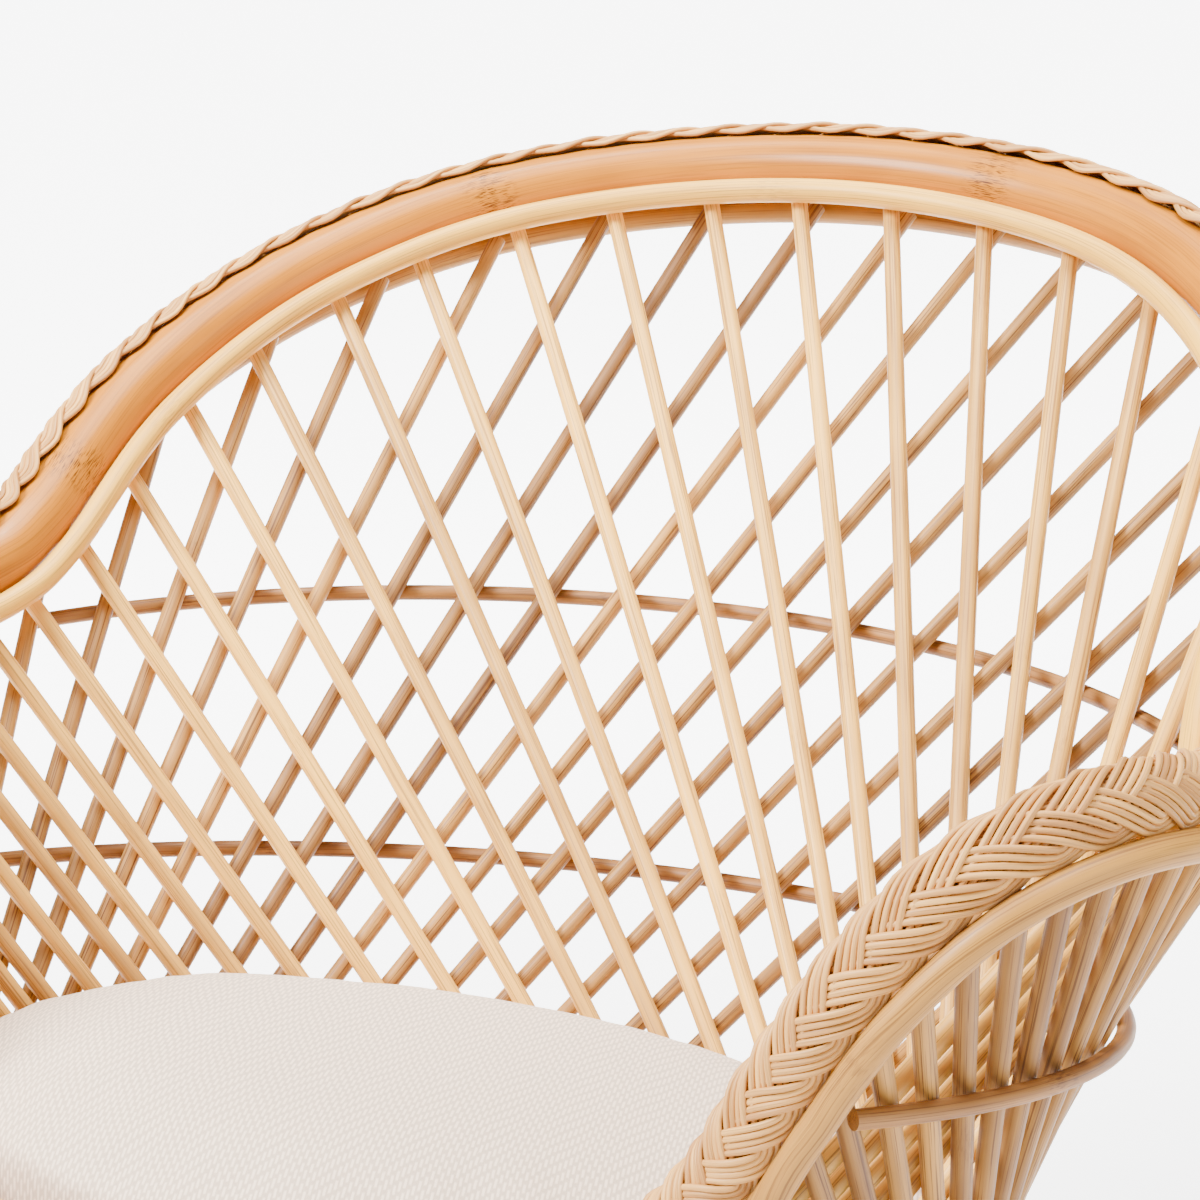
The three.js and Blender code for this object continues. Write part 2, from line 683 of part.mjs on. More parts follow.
function seatDeck() {
  const outline = Array.from({ length: CUSHION_AROUND }, (_, stop) => {
    const direction = 2 * Math.PI * stop / CUSHION_AROUND;
    const point = seatPoint(direction, DECK_BASE, ROD_RADIUS + DECK_INSET);
    return new THREE.Vector2(point.x, point.y);
  });
  const options = { depth: DECK_THICKNESS, bevelEnabled: false };
  return new THREE.ExtrudeGeometry(new THREE.Shape(outline), options).translate(0, 0, DECK_BASE);
}

addPiece('seat_deck', seatDeck(), CANE_DECK, seat);

// The loose pad: a crowned top, sides that draw in above and below their widest line, a flat base
const CUSHION_BASE = DECK_BASE + DECK_THICKNESS + JOINT_GAP;
const CUSHION_SIDE = [[0, 1], [0.2, 0.35], [0.5, 0], [0.8, 0.35], [1, 1]];
const CUSHION_TOP = [0.93, 0.82, 0.64, 0.42, 0.2];

function cushion() {
  const ring = (shrink, level, tuck) => Array.from({ length: CUSHION_AROUND }, (_, stop) => {
    const direction = 2 * Math.PI * stop / CUSHION_AROUND;
    const toFront = THREE.MathUtils.smoothstep(-Math.sin(direction), -0.45, 0.5);
    const inset = THREE.MathUtils.lerp(CUSHION_BACK_INSET, CUSHION_FRONT_INSET, toFront);
    const side = Math.min(level, CUSHION_BASE + CUSHION_EDGE);
    const widest = seatReach(direction, side, ROD_RADIUS + inset);
    const reach = (widest - tuck * CUSHION_TUCK) * shrink;
    return new THREE.Vector3(reach * Math.cos(direction), reach * Math.sin(direction), level);
  });
  const rings = CUSHION_SIDE.map(([share, tuck]) => ring(1, CUSHION_BASE + share * CUSHION_EDGE, tuck));
  CUSHION_TOP.forEach((shrink) => {
    const crown = CUSHION_CROWN * (1 - shrink ** 3.5);
    rings.push(ring(shrink, CUSHION_BASE + CUSHION_EDGE + crown, 1));
  });
  return loft(rings, false);
}

addPiece('seat_cushion', cushion(), COTTON, seat);

// The origin goes under the middle of the chair's whole depth.
const extent = new THREE.Box3().setFromObject(frame, true);
frame.position.y = -(extent.min.y + extent.max.y) / 2;

export default chair;
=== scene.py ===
"""Looks of a rattan peacock chair: rods, bent poles, cane plait, woven deck and a loose cotton pad."""

import logging
import math
import random
from dataclasses import dataclass
from enum import Enum
from typing import Iterable, Sequence

import bmesh
import bpy
import numpy as np
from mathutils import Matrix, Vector


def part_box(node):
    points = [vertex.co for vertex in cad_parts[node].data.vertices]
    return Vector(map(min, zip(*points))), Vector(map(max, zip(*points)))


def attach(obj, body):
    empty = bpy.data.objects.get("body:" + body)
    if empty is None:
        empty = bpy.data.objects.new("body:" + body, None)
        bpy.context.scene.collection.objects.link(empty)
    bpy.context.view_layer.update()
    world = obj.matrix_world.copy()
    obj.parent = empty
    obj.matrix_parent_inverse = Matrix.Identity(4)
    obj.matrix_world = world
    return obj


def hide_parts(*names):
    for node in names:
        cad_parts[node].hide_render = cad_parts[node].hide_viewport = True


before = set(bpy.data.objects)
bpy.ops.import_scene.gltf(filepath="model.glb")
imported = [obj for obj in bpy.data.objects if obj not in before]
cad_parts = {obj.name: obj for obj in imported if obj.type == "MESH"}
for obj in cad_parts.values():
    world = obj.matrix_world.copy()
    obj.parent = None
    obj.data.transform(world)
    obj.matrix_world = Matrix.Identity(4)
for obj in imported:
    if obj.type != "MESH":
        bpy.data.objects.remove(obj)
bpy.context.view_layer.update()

LOG = logging.getLogger("peacock_chair")
SEED = 7
FRAME_BODY = "frame"
PAD_BODY = "cushion"


class Layer(Enum):
    """The two layers of the lattice, with the way that each one's rods lean."""

    INNER = 1
    OUTER = -1


class Span(Enum):
    """The stretches of the rim, in degrees from the middle of the back."""

    HOOP = ("hoop", -92.0, 92.0)
    ARM_RIGHT = ("arm_right", 92.0, 150.0)
    ARM_LEFT = ("arm_left", -150.0, -92.0)
    FRONT = ("front", 150.0, 210.0)


def linear(red: int, green: int, blue: int) -> tuple[float, float, float, float]:
    """Turns a display colour into the linear one that shaders take.

    Args:
        red: red from 0 to 255.
        green: green from 0 to 255.
        blue: blue from 0 to 255.

    Returns:
        The linear colour with full alpha.
    """
    def channel(value: int) -> float:
        """One channel's linear value."""
        share = value / 255
        return share / 12.92 if share <= 0.04045 else ((share + 0.055) / 1.055) ** 2.4

    return channel(red), channel(green), channel(blue), 1.0


# Shader graph

class Signal:
    """A number in a material; arithmetic on it adds Math nodes."""

    def __init__(self, graph: "FinishGraph", socket: bpy.types.NodeSocket) -> None:
        """Wraps a node's output socket."""
        self.graph = graph
        self.socket = socket

    def math(self, operation: str, *others: "Signal | float", clamp: bool = False) -> "Signal":
        """Adds a Math node that starts from this value.

        Args:
            operation: the Math node's operation.
            others: its further values.
            clamp: whether the result is held between 0 and 1.

        Returns:
            The node's result.
        """
        return self.graph.math(operation, self, *others, clamp=clamp)

    def __add__(self, other: "Signal | float") -> "Signal":
        """Sum."""
        return self.graph.math("ADD", self, other)

    __radd__ = __add__

    def __sub__(self, other: "Signal | float") -> "Signal":
        """Difference."""
        return self.graph.math("SUBTRACT", self, other)

    def __rsub__(self, other: "Signal | float") -> "Signal":
        """Difference from a number."""
        return self.graph.math("SUBTRACT", other, self)

    def __mul__(self, other: "Signal | float") -> "Signal":
        """Product."""
        return self.graph.math("MULTIPLY", self, other)

    __rmul__ = __mul__

    def __truediv__(self, other: "Signal | float") -> "Signal":
        """Quotient."""
        return self.graph.math("DIVIDE", self, other)

    def __rtruediv__(self, other: "Signal | float") -> "Signal":
        """Quotient of a number."""
        return self.graph.math("DIVIDE", other, self)


class FinishGraph:
    """A material's node tree while it is being written."""

    def __init__(self, name: str) -> None:
        """Starts a material with one Principled shader."""
        self.material = bpy.data.materials.new(name)
        self.material.use_nodes = True
        self.tree = self.material.node_tree
        self.shader = self.tree.nodes["Principled BSDF"]

    def node(self, kind: str, settings: dict | None = None, inputs: dict | None = None) -> bpy.types.Node:
        """Adds any node.

        Args:
            kind: the node's type.
            settings: its own settings, set before its sockets.
            inputs: the values or links of its sockets by name or number.

        Returns:
            The new node.
        """
        made = self.tree.nodes.new(kind)
        for key, value in (settings or {}).items():
            setattr(made, key, value)
        for key, value in (inputs or {}).items():
            self._feed(made.inputs[key], value)
        return made

    def _feed(self, socket: bpy.types.NodeSocket, value: object) -> None:
        """Links or sets one socket."""
        if isinstance(value, Signal):
            self.tree.links.new(value.socket, socket)
        elif isinstance(value, bpy.types.NodeSocket):
            self.tree.links.new(value, socket)
        else:
            socket.default_value = value

    def math(self, operation: str, *values: "Signal | float", clamp: bool = False) -> Signal:
        """Adds a Math node.

        Args:
            operation: the node's operation.
            values: its values in order.
            clamp: whether the result is held between 0 and 1.

        Returns:
            The node's result.
        """
        settings = {"operation": operation, "use_clamp": clamp}
        made = self.node("ShaderNodeMath", settings, dict(enumerate(values)))
        return Signal(self, made.outputs[0])

    def attribute(self, name: str, vector: bool) -> "Signal | bpy.types.NodeSocket":
        """Reads one of the mesh's own attributes as a vector or as a number."""
        made = self.node("ShaderNodeAttribute", {"attribute_name": name})
        return made.outputs["Vector"] if vector else Signal(self, made.outputs["Fac"])

    def stretched(self, vector: bpy.types.NodeSocket, scale: Sequence[float]) -> bpy.types.NodeSocket:
        """Scales a vector by a different amount along each axis."""
        made = self.node("ShaderNodeVectorMath", {"operation": "MULTIPLY"}, {0: vector, 1: tuple(scale)})
        return made.outputs["Vector"]

    def noise(self, vector: bpy.types.NodeSocket, scale: float, detail: float, rough: float = 0.5) -> Signal:
        """Adds a noise texture and gives its number."""
        made = self.node("ShaderNodeTexNoise", {}, {
            "Vector": vector, "Scale": scale, "Detail": detail, "Roughness": rough})
        return Signal(self, made.outputs["Fac"])

    def smooth(self, value: Signal, low: float, high: float) -> Signal:
        """Eases a value from 0 at low to 1 at high."""
        made = self.node("ShaderNodeMapRange", {"interpolation_type": "SMOOTHSTEP"}, {
            "Value": value, "From Min": low, "From Max": high, "To Min": 0.0, "To Max": 1.0})
        return Signal(self, made.outputs["Result"])

    def blend(self, share: "Signal | float", first: object, second: object) -> bpy.types.NodeSocket:
        """Mixes two colours by a share."""
        made = self.node("ShaderNodeMix", {"data_type": "RGBA"}, {0: share, 6: first, 7: second})
        return made.outputs[2]

    def bump(self, height: Signal, strength: float, depth: float) -> bpy.types.NodeSocket:
        """Turns a height into a normal."""
        made = self.node("ShaderNodeBump", {}, {"Height": height, "Strength": strength, "Distance": depth})
        return made.outputs["Normal"]

    def dress(self, **sockets: object) -> bpy.types.Material:
        """Sets or links the shader's sockets, with underscores for the spaces in their names.

        Args:
            sockets: values or links by the shader's socket names.

        Returns:
            The finished material.
        """
        for key, value in sockets.items():
            self._feed(self.shader.inputs[key.replace("_", " ")], value)
        return self.material


# Finishes

FIBRE_SCALE = (1300.0, 1300.0, 12.0)
STREAK_SCALE = (420.0, 420.0, 6.0)
CLOUD_SCALE = (40.0, 40.0, 14.0)
DASH_SCALE = (2000.0, 2000.0, 170.0)
COAT_ROUGHNESS = 0.18
GRAIN_DEPTH = 0.0006


@dataclass(frozen=True)
class RattanFinish:
    """Rattan as it lies along a rod, pole or cane: fibre lines, cloudy tone, growth joints."""

    name: str
    light: tuple[float, float, float, float]
    dark: tuple[float, float, float, float]
    line: tuple[float, float, float, float]
    fibre_share: float
    line_share: float
    roughness: float
    coat: float
    specular: float
    joint_spacing: float
    joint_share: float
    relief: float

    def build(self) -> bpy.types.Material:
        """Writes the material.

        Returns:
            A material that reads the swept mesh's grain and tint attributes.
        """
        graph = FinishGraph(self.name)
        grain = graph.attribute("grain", True)
        tint = graph.attribute("tint", False)
        fibre = graph.noise(graph.stretched(grain, FIBRE_SCALE), 1.0, 3.0, 0.6)
        streak = graph.noise(graph.stretched(grain, STREAK_SCALE), 1.0, 2.0)
        cloud = graph.noise(graph.stretched(grain, CLOUD_SCALE), 1.0, 2.0)
        tone = (streak - 0.5) * 1.1 + (cloud - 0.5) * 1.2 + (tint - 0.5) * 0.75 + 0.5
        tone = (tone * self.fibre_share + 0.5 * (1 - self.fibre_share)).math("ADD", 0.0, clamp=True)
        colour = graph.blend(tone, self.light, self.dark)
        lines = graph.smooth(fibre, 0.51, 0.64) * self.line_share
        colour = graph.blend(lines, colour, self.line)
        height = fibre * 0.6 + streak * 0.4
        if self.joint_share > 0:
            place = graph.node("ShaderNodeSeparateXYZ", {}, {0: grain}).outputs["Z"]
            wander = (cloud - 0.5) * 0.012
            cell = ((Signal(graph, place) + wander) / self.joint_spacing).math("FRACT")
            away = (cell - 0.5).math("ABSOLUTE") * self.joint_spacing
            ring = 1 - graph.smooth(away, 0.0006, 0.0030)
            halo = 1 - graph.smooth(away, 0.004, 0.020)
            dashes = graph.smooth(graph.noise(graph.stretched(grain, DASH_SCALE), 1.0, 1.0), 0.53, 0.62)
            mark = (ring * 0.14 + halo * dashes).math("MULTIPLY", self.joint_share, clamp=True)
            colour = graph.blend(mark, colour, self.line)
            height = height - ring * 0.2
        return graph.dress(
            Base_Color=colour,
            Roughness=(1 - fibre) * 0.12 + (self.roughness - 0.06),
            Coat_Weight=self.coat,
            Coat_Roughness=COAT_ROUGHNESS,
            Specular_IOR_Level=self.specular,
            Normal=graph.bump(height, self.relief, GRAIN_DEPTH),
        )


@dataclass(frozen=True)
class CottonFinish:
    """Figured cotton: short raised dashes in staggered columns over a plain ground."""

    name: str = "pad_cotton"
    column: float = 0.0019
    row: float = 0.0112
    turn: float = 20.0
    ground: tuple[float, float, float, float] = (0.52, 0.390, 0.285, 1.0)
    raised: tuple[float, float, float, float] = (0.90, 0.715, 0.545, 1.0)

    def build(self) -> bpy.types.Material:
        """Writes the material on Object coordinates, so the cloth needs no map."""
        graph = FinishGraph(self.name)
        place = graph.node("ShaderNodeTexCoord").outputs["Object"]
        parts = graph.node("ShaderNodeSeparateXYZ", {}, {0: place})
        wander = graph.noise(graph.stretched(place, (60.0, 60.0, 60.0)), 1.0, 2.0)
        east, north, above = (Signal(graph, parts.outputs[axis]) for axis in ("X", "Y", "Z"))
        cosine, sine = math.cos(math.radians(self.turn)), math.sin(math.radians(self.turn))
        columns = (east * cosine + north * sine) / self.column + (wander - 0.5) * 0.5
        step = columns.math("FLOOR")
        stagger = step * 0.618 + (step * 12.9898).math("SINE") * 0.3
        rows = (north * cosine - east * sine + above) / self.row + stagger + (wander - 0.5) * 0.4
        across = ((columns.math("FRACT") - 0.5).math("ABSOLUTE")) * 2
        along = ((rows.math("FRACT") - 0.5).math("ABSOLUTE")) * 2
        dash = (1 - graph.smooth(across, 0.30, 0.85)) * (1 - graph.smooth(along, 0.45, 0.85))
        thread = graph.noise(graph.stretched(place, (2600.0, 900.0, 900.0)), 1.0, 2.0)
        fleck = graph.smooth(graph.noise(graph.stretched(place, (260.0, 260.0, 260.0)), 1.0, 1.0), 0.74, 0.80)
        share = (dash * 0.75 + (thread - 0.5) * 0.5 + 0.15).math("ADD", 0.0, clamp=True)
        colour = graph.blend(share, self.ground, self.raised)
        colour = graph.blend(fleck * 0.35, colour, linear(190, 168, 150))
        return graph.dress(
            Base_Color=colour,
            Roughness=0.92,
            Sheen_Weight=0.15,
            Normal=graph.bump(dash * 0.7 + thread * 0.3, 0.35, 0.0006),
        )


@dataclass(frozen=True)
class CaneDeckFinish:
    """Close-woven cane: strips over and under each other in both directions, with painted shade in the gaps
    between them.
    """

    name: str = "seat_deck_cane"
    strip: float = 0.006

    def build(self) -> bpy.types.Material:
        """Writes the material on Object coordinates."""
        graph = FinishGraph(self.name)
        place = graph.node("ShaderNodeTexCoord").outputs["Object"]
        parts = graph.node("ShaderNodeSeparateXYZ", {}, {0: place})
        across = Signal(graph, parts.outputs["X"]) / self.strip
        along = Signal(graph, parts.outputs["Y"]) / self.strip
        over = ((across.math("FLOOR") + along.math("FLOOR")) / 2).math("FRACT") * 2
        edge_x = graph.smooth((across.math("FRACT") - 0.5).math("ABSOLUTE"), 0.36, 0.5)
        edge_y = graph.smooth((along.math("FRACT") - 0.5).math("ABSOLUTE"), 0.36, 0.5)
        groove = edge_x * over + edge_y * (1 - over)
        fibre = graph.noise(graph.stretched(place, (700.0, 700.0, 700.0)), 1.0, 2.0)
        colour = graph.blend(fibre, (0.46, 0.235, 0.060, 1.0), (0.62, 0.340, 0.095, 1.0))
        # Painted shade: the gaps between the strips are darkened nearly to black.
        colour = graph.blend(groove * 0.85, colour, (0.12, 0.050, 0.014, 1.0))
        return graph.dress(
            Base_Color=colour,
            Roughness=0.6 + fibre * 0.1,
            Normal=graph.bump((1 - groove) + fibre * 0.1, 0.5, 0.0012),
        )


@dataclass(frozen=True)
class FloorFinish:
    """A plain pale studio floor with a slight glow of its own."""

    name: str = "studio_floor"
    glow: float = 0.5

    def build(self) -> bpy.types.Material:
        """Writes the material with a hardly seen unevenness."""
        graph = FinishGraph(self.name)
        place = graph.node("ShaderNodeTexCoord").outputs["Object"]
        cloud = graph.noise(place, 1.5, 2.0)
        return graph.dress(
            Base_Color=graph.blend(cloud, (0.90, 0.90, 0.90, 1.0), (0.93, 0.93, 0.93, 1.0)),
            Roughness=0.85,
            Emission_Color=(1.0, 1.0, 1.0, 1.0),
            Emission_Strength=self.glow,
        )


SKIN_POLE = RattanFinish(
    name="rim_pole_skin",
    light=(0.51, 0.178, 0.006, 1.0), dark=(0.28, 0.080, 0.003, 1.0), line=(0.07, 0.018, 0.002, 1.0),
    fibre_share=1.00, line_share=0.26, roughness=0.32, coat=0.05, specular=0.18,
    joint_spacing=0.295, joint_share=0.85, relief=0.06)
PEELED_POLE = RattanFinish(
    name="slim_pole_peeled",
    light=(0.88, 0.475, 0.062, 1.0), dark=(0.60, 0.285, 0.034, 1.0), line=(0.26, 0.095, 0.018, 1.0),
    fibre_share=0.80, line_share=0.50, roughness=0.46, coat=0.05, specular=0.30,
    joint_spacing=0.37, joint_share=0.30, relief=0.12)
# Outer slim poles: the same peeled pole as slim_pole_peeled, coloured darker as painted shade.
REAR_POLE_PAINTED_SHADE = RattanFinish(
    name="slim_pole_rear_painted_shade",
    light=(0.56, 0.270, 0.045, 1.0), dark=(0.32, 0.135, 0.022, 1.0), line=(0.12, 0.040, 0.010, 1.0),
    fibre_share=0.90, line_share=0.60, roughness=0.48, coat=0.04, specular=0.30,
    joint_spacing=0.37, joint_share=0.30, relief=0.14)
INNER_ROD = RattanFinish(
    name="lattice_rod_inner",
    light=(0.96, 0.525, 0.096, 1.0), dark=(0.50, 0.248, 0.053, 1.0), line=(0.22, 0.085, 0.023, 1.0),
    fibre_share=0.95, line_share=0.65, roughness=0.46, coat=0.05, specular=0.30,
    joint_spacing=0.42, joint_share=0.25, relief=0.16)
# Outer lattice rods: the same cane as the inner rods, coloured darker as painted shade.
OUTER_ROD_PAINTED_SHADE = RattanFinish(
    name="lattice_rod_outer_painted_shade",
    light=(0.53, 0.265, 0.061, 1.0), dark=(0.22, 0.100, 0.029, 1.0), line=(0.09, 0.034, 0.012, 1.0),
    fibre_share=1.00, line_share=0.85, roughness=0.50, coat=0.03, specular=0.30,
    joint_spacing=0.42, joint_share=0.30, relief=0.20)
RING_ROD = RattanFinish(
    name="ring_rod",
    light=(0.42, 0.190, 0.045, 1.0), dark=(0.18, 0.070, 0.018, 1.0), line=(0.07, 0.024, 0.008, 1.0),
    fibre_share=1.00, line_share=0.60, roughness=0.52, coat=0.02, specular=0.30,
    joint_spacing=0.23, joint_share=0.55, relief=0.18)
PLAIT_CANE = RattanFinish(
    name="plait_cane",
    light=(0.80, 0.425, 0.115, 1.0), dark=(0.46, 0.205, 0.055, 1.0), line=(0.14, 0.052, 0.012, 1.0),
    fibre_share=1.00, line_share=0.40, roughness=0.48, coat=0.05, specular=0.30,
    joint_spacing=0.42, joint_share=0.0, relief=0.12)


# Geometry of the chair

@dataclass(frozen=True)
class Wall:
    """The leaning hourglass on which both layers of rods lie, in metres."""

    waist_height: float = 0.285
    half_width: float = 0.240
    half_depth: float = 0.204
    flare: float = 0.277
    lean: float = 0.17
    rod_radius: float = 0.0045
    layer_gap: float = 0.0006
    shift: float = 0.0

    @property
    def layer_offset(self) -> float:
        """Distance at the waist from the middle of the wall to either layer's axes."""
        return self.rod_radius + self.layer_gap / 2

    def scale(self, height: float) -> float:
        """How much wider the wall is than its waist at a height above the waist."""
        return math.hypot(1.0, height / self.flare)

    def point(self, angle: float, height: float) -> Vector:
        """A point of the wall's middle.

        Args:
            angle: angle round the wall from +X, in radians.
            height: height above the waist.

        Returns:
            The point in the chair's frame.
        """
        scale = self.scale(height)
        return Vector((
            self.half_width * scale * math.cos(angle),
            self.half_depth * scale * math.sin(angle) + self.lean * height + self.shift,
            self.waist_height + height,
        ))

    def normal(self, angle: float, height: float) -> Vector:
        """The wall's outward normal at an angle and height."""
        across = self.scale(height) * math.cos(angle) / self.half_width
        along = self.scale(height) * math.sin(angle) / self.half_depth
        return Vector((across, along, -self.lean * along - height / self.flare ** 2)).normalized()

    def layer_distance(self, angle: float, height: float) -> float:
        """Distance from the middle of the wall to either layer's axes, square to the wall."""
        outward = Vector((math.cos(angle), math.sin(angle), 0.0)) * self.scale(height)
        return self.layer_offset * outward.dot(self.normal(angle, height))

    def rod_point(self, angle: float, layer: Layer, height: float) -> Vector:
        """A point on a straight rod.

        Args:
            angle: the rod's angle at the waist.
            layer: which layer it belongs to.
            height: height above the waist.

        Returns:
            The point on the rod's axis.
        """
        lean = layer.value * height / self.flare
        spread = -layer.value * self.layer_offset
        back = self.lean * height + self.shift
        return Vector((
            (self.half_width + spread) * (math.cos(angle) - lean * math.sin(angle)),
            (self.half_depth + spread) * (math.sin(angle) + lean * math.cos(angle)) + back,
            self.waist_height + height,
        ))


@dataclass(frozen=True)
class RimSizes:
    """Heights of the rim above the waist and the sizes of its poles, in metres."""

    hoop_height: float = 0.460
    saddle_height: float = 0.276
    arm_height: float = 0.294
    front_height: float = 0.099
    hoop_radius: float = 0.0175
    arm_radius: float = 0.012
    taper_start: float = 70.0
    taper_end: float = 92.0
    pole_inset: float = 0.008
    slim_radius: float = 0.0065
    hoop_outer_lift: float = 0.0112
    arm_outer_lift: float = 0.015
    rod_end_corner: float = 0.0011
    clearance: float = 0.0005
    braid_thickness: float = 0.0085
    hoop_braid: tuple[float, float] = (47.0, 70.0)
    arm_braid: tuple[float, float] = (50.0, 90.0)

    def stops(self) -> list[tuple[float, float]]:
        """The rim's course as degrees from the middle of the back and height above the waist."""
        hoop_fall = self.hoop_height - self.saddle_height
        arm_fall = self.arm_height - self.front_height
        hoop = [(0, 0), (20, 0.084), (34.5, 0.274), (49, 0.58), (61, 0.905), (67, 1.0), (78, 1.05)]
        arm = [(112, 0), (118.5, 0.057), (122.5, 0.223), (124.8, 0.459), (127, 0.677), (132, 0.836),
               (142, 0.93), (158, 1), (180, 1)]
        return ([(degrees, self.hoop_height - share * hoop_fall) for degrees, share in hoop]
                + [(degrees, self.arm_height - share * arm_fall) for degrees, share in arm])


class Rim:
    """The rim's course round the wall, sampled finely, with the places of its members beside it."""

    SAMPLES = 480
    STEP = 0.002

    def __init__(self, wall: Wall, sizes: RimSizes) -> None:
        """Samples the course once.

        Args:
            wall: the hourglass that the rim follows.
            sizes: the rim's heights and pole sizes.
        """
        self.wall = wall
        self.sizes = sizes
        self._sample()

    def _half(self) -> list[tuple[float, float]]:
        """Degrees and heights from the middle of the back to the middle of the front, on one smooth curve."""
        stops = self.sizes.stops()
        stops = [(-stops[1][0], stops[1][1]), *stops, (360 - stops[-2][0], stops[-2][1])]
        scale = self.wall.half_width * math.pi / 180
        points = [Vector((degrees * scale, height)) for degrees, height in stops]
        spans = len(points) - 3
        result = []
        for sample in range(self.SAMPLES + 1):
            place = sample / self.SAMPLES * spans
            span = min(int(place), spans - 1)
            share = place - span
            four = points[span:span + 4]
            gaps = [math.sqrt((four[k + 1] - four[k]).length) for k in range(3)]
            first = ((four[1] - four[0]) / gaps[0] - (four[2] - four[0]) / (gaps[0] + gaps[1])
                     + (four[2] - four[1]) / gaps[1]) * gaps[1]
            second = ((four[2] - four[1]) / gaps[1] - (four[3] - four[1]) / (gaps[1] + gaps[2])
                      + (four[3] - four[2]) / gaps[2]) * gaps[1]
            point = (four[1] + first * share
                     + (3 * (four[2] - four[1]) - 2 * first - second) * share ** 2
                     + (2 * (four[1] - four[2]) + first + second) * share ** 3)
            result.append((point.x / scale, point.y))
        return result

    def _sample(self) -> None:
        """Fills the arrays that the members are placed by."""
        right = self._half()
        left = [(-degrees, height) for degrees, height in reversed(right[1:])]
        course = left + right
        places = np.array([self.wall.point(math.radians(90 - d), h) for d, h in course])
        lengths = np.concatenate([[0.0], np.cumsum(np.linalg.norm(np.diff(places, axis=0), axis=1))])
        self.length = float(lengths[-1])
        self.course_length = lengths
        self.course_degrees = np.array([d for d, _ in course])
        self.course_height = np.array([h for _, h in course])
        count = int(self.length / self.STEP)
        self.at = np.linspace(0.0, self.length, count + 1)
        degrees = np.interp(self.at, lengths, self.course_degrees)
        heights = np.interp(self.at, lengths, self.course_height)
        angles = np.radians(90 - degrees)
        place = np.array([self.wall.point(a, h) for a, h in zip(angles, heights)])
        ahead = np.roll(place[:-1], -3, axis=0)
        behind = np.roll(place[:-1], 3, axis=0)
        tangent = ahead - behind
        tangent = np.vstack([tangent, tangent[:1]])
        tangent /= np.linalg.norm(tangent, axis=1, keepdims=True)
        normal = np.array([self.wall.normal(a, h) for a, h in zip(angles, heights)])
        normal -= tangent * np.sum(normal * tangent, axis=1, keepdims=True)
        normal /= np.linalg.norm(normal, axis=1, keepdims=True)
        layer = np.array([self.wall.layer_distance(a, h) for a, h in zip(angles, heights)])
        share = np.clip((np.abs(degrees) - self.sizes.taper_start)
                        / (self.sizes.taper_end - self.sizes.taper_start), 0, 1)
        share = share * share * (3 - 2 * share)
        sizes = self.sizes
        radius = sizes.hoop_radius + (sizes.arm_radius - sizes.hoop_radius) * share
        touch = sizes.slim_radius + sizes.clearance
        aside = layer + self.wall.rod_radius + touch
        lift = np.sqrt(np.maximum((radius + touch) ** 2 - (aside - sizes.pole_inset) ** 2, 0))
        outer_lift = sizes.hoop_outer_lift + (sizes.arm_outer_lift - sizes.hoop_outer_lift) * share
        beside_pole = np.sqrt((radius + touch) ** 2 - (lift - outer_lift) ** 2) - sizes.pole_inset
        near = layer - self.wall.rod_radius + sizes.pole_inset
        rod_end = lift - np.sqrt((radius + sizes.clearance) ** 2 - near ** 2)
        above = np.clip(outer_lift - rod_end - sizes.rod_end_corner, 0, touch)
        beside_rods = layer + self.wall.rod_radius + np.sqrt(touch ** 2 - above ** 2)
        self.arm_share = share
        self.place = place
        self.normal = normal
        self.up = np.cross(tangent, normal)
        self.radius = radius
        self.inner_aside = aside
        self.outer_aside = np.maximum(beside_pole, beside_rods)
        self.outer_lift = outer_lift
        self.lift = lift
        hoop, arm = sizes.hoop_braid, sizes.arm_braid
        self.braid_inside = np.radians(hoop[0] + (arm[0] - hoop[0]) * share)
        self.braid_outside = np.radians(hoop[1] + (arm[1] - hoop[1]) * share)

    def ends(self, span: Span) -> tuple[float, float]:
        """Lengths along the course at which a stretch of the rim starts and ends.

        Args:
            span: the stretch.

        Returns:
            The two lengths, the second past the course's end where the stretch runs through the front.
        """
        _, low, high = span.value
        start = float(np.interp(low, self.course_degrees, self.course_length))
        wraps = high > 180
        end = float(np.interp(high - 360 if wraps else high, self.course_degrees, self.course_length))
        return start, end + (self.length if wraps else 0.0)

    def _read(self, values: np.ndarray, lengths: np.ndarray) -> np.ndarray:
        """Reads sampled values at lengths along the course, running on past its end."""
        wrapped = np.mod(lengths, self.length)
        if values.ndim == 1:
            return np.interp(wrapped, self.at, values)
        return np.stack([np.interp(wrapped, self.at, values[:, k]) for k in range(3)], axis=1)

    def beside(self, lengths: np.ndarray, out: np.ndarray, up: np.ndarray) -> np.ndarray:
        """Points beside the course.

        Args:
            lengths: lengths along the course.
            out: distances along the wall's normal.
            up: distances along the wall, away from the lattice.

        Returns:
            The points, one a row.
        """
        return (self._read(self.place, lengths) + self._read(self.normal, lengths) * out[:, None]
                + self._read(self.up, lengths) * up[:, None])

    def pole_axis(self, lengths: np.ndarray) -> np.ndarray:
        """The rim pole's axis at lengths along the course."""
        inset = np.full(len(lengths), -self.sizes.pole_inset)
        return self.beside(lengths, inset, self._read(self.lift, lengths))

    def slim_axis(self, lengths: np.ndarray, side: int) -> np.ndarray:
        """A slim pole's axis: side is -1 inside the wall and 1 outside it."""
        aside = self.outer_aside if side > 0 else -self.inner_aside
        lift = self.outer_lift if side > 0 else np.zeros_like(self.outer_lift)
        return self.beside(lengths, self._read(aside, lengths), self._read(lift, lengths))

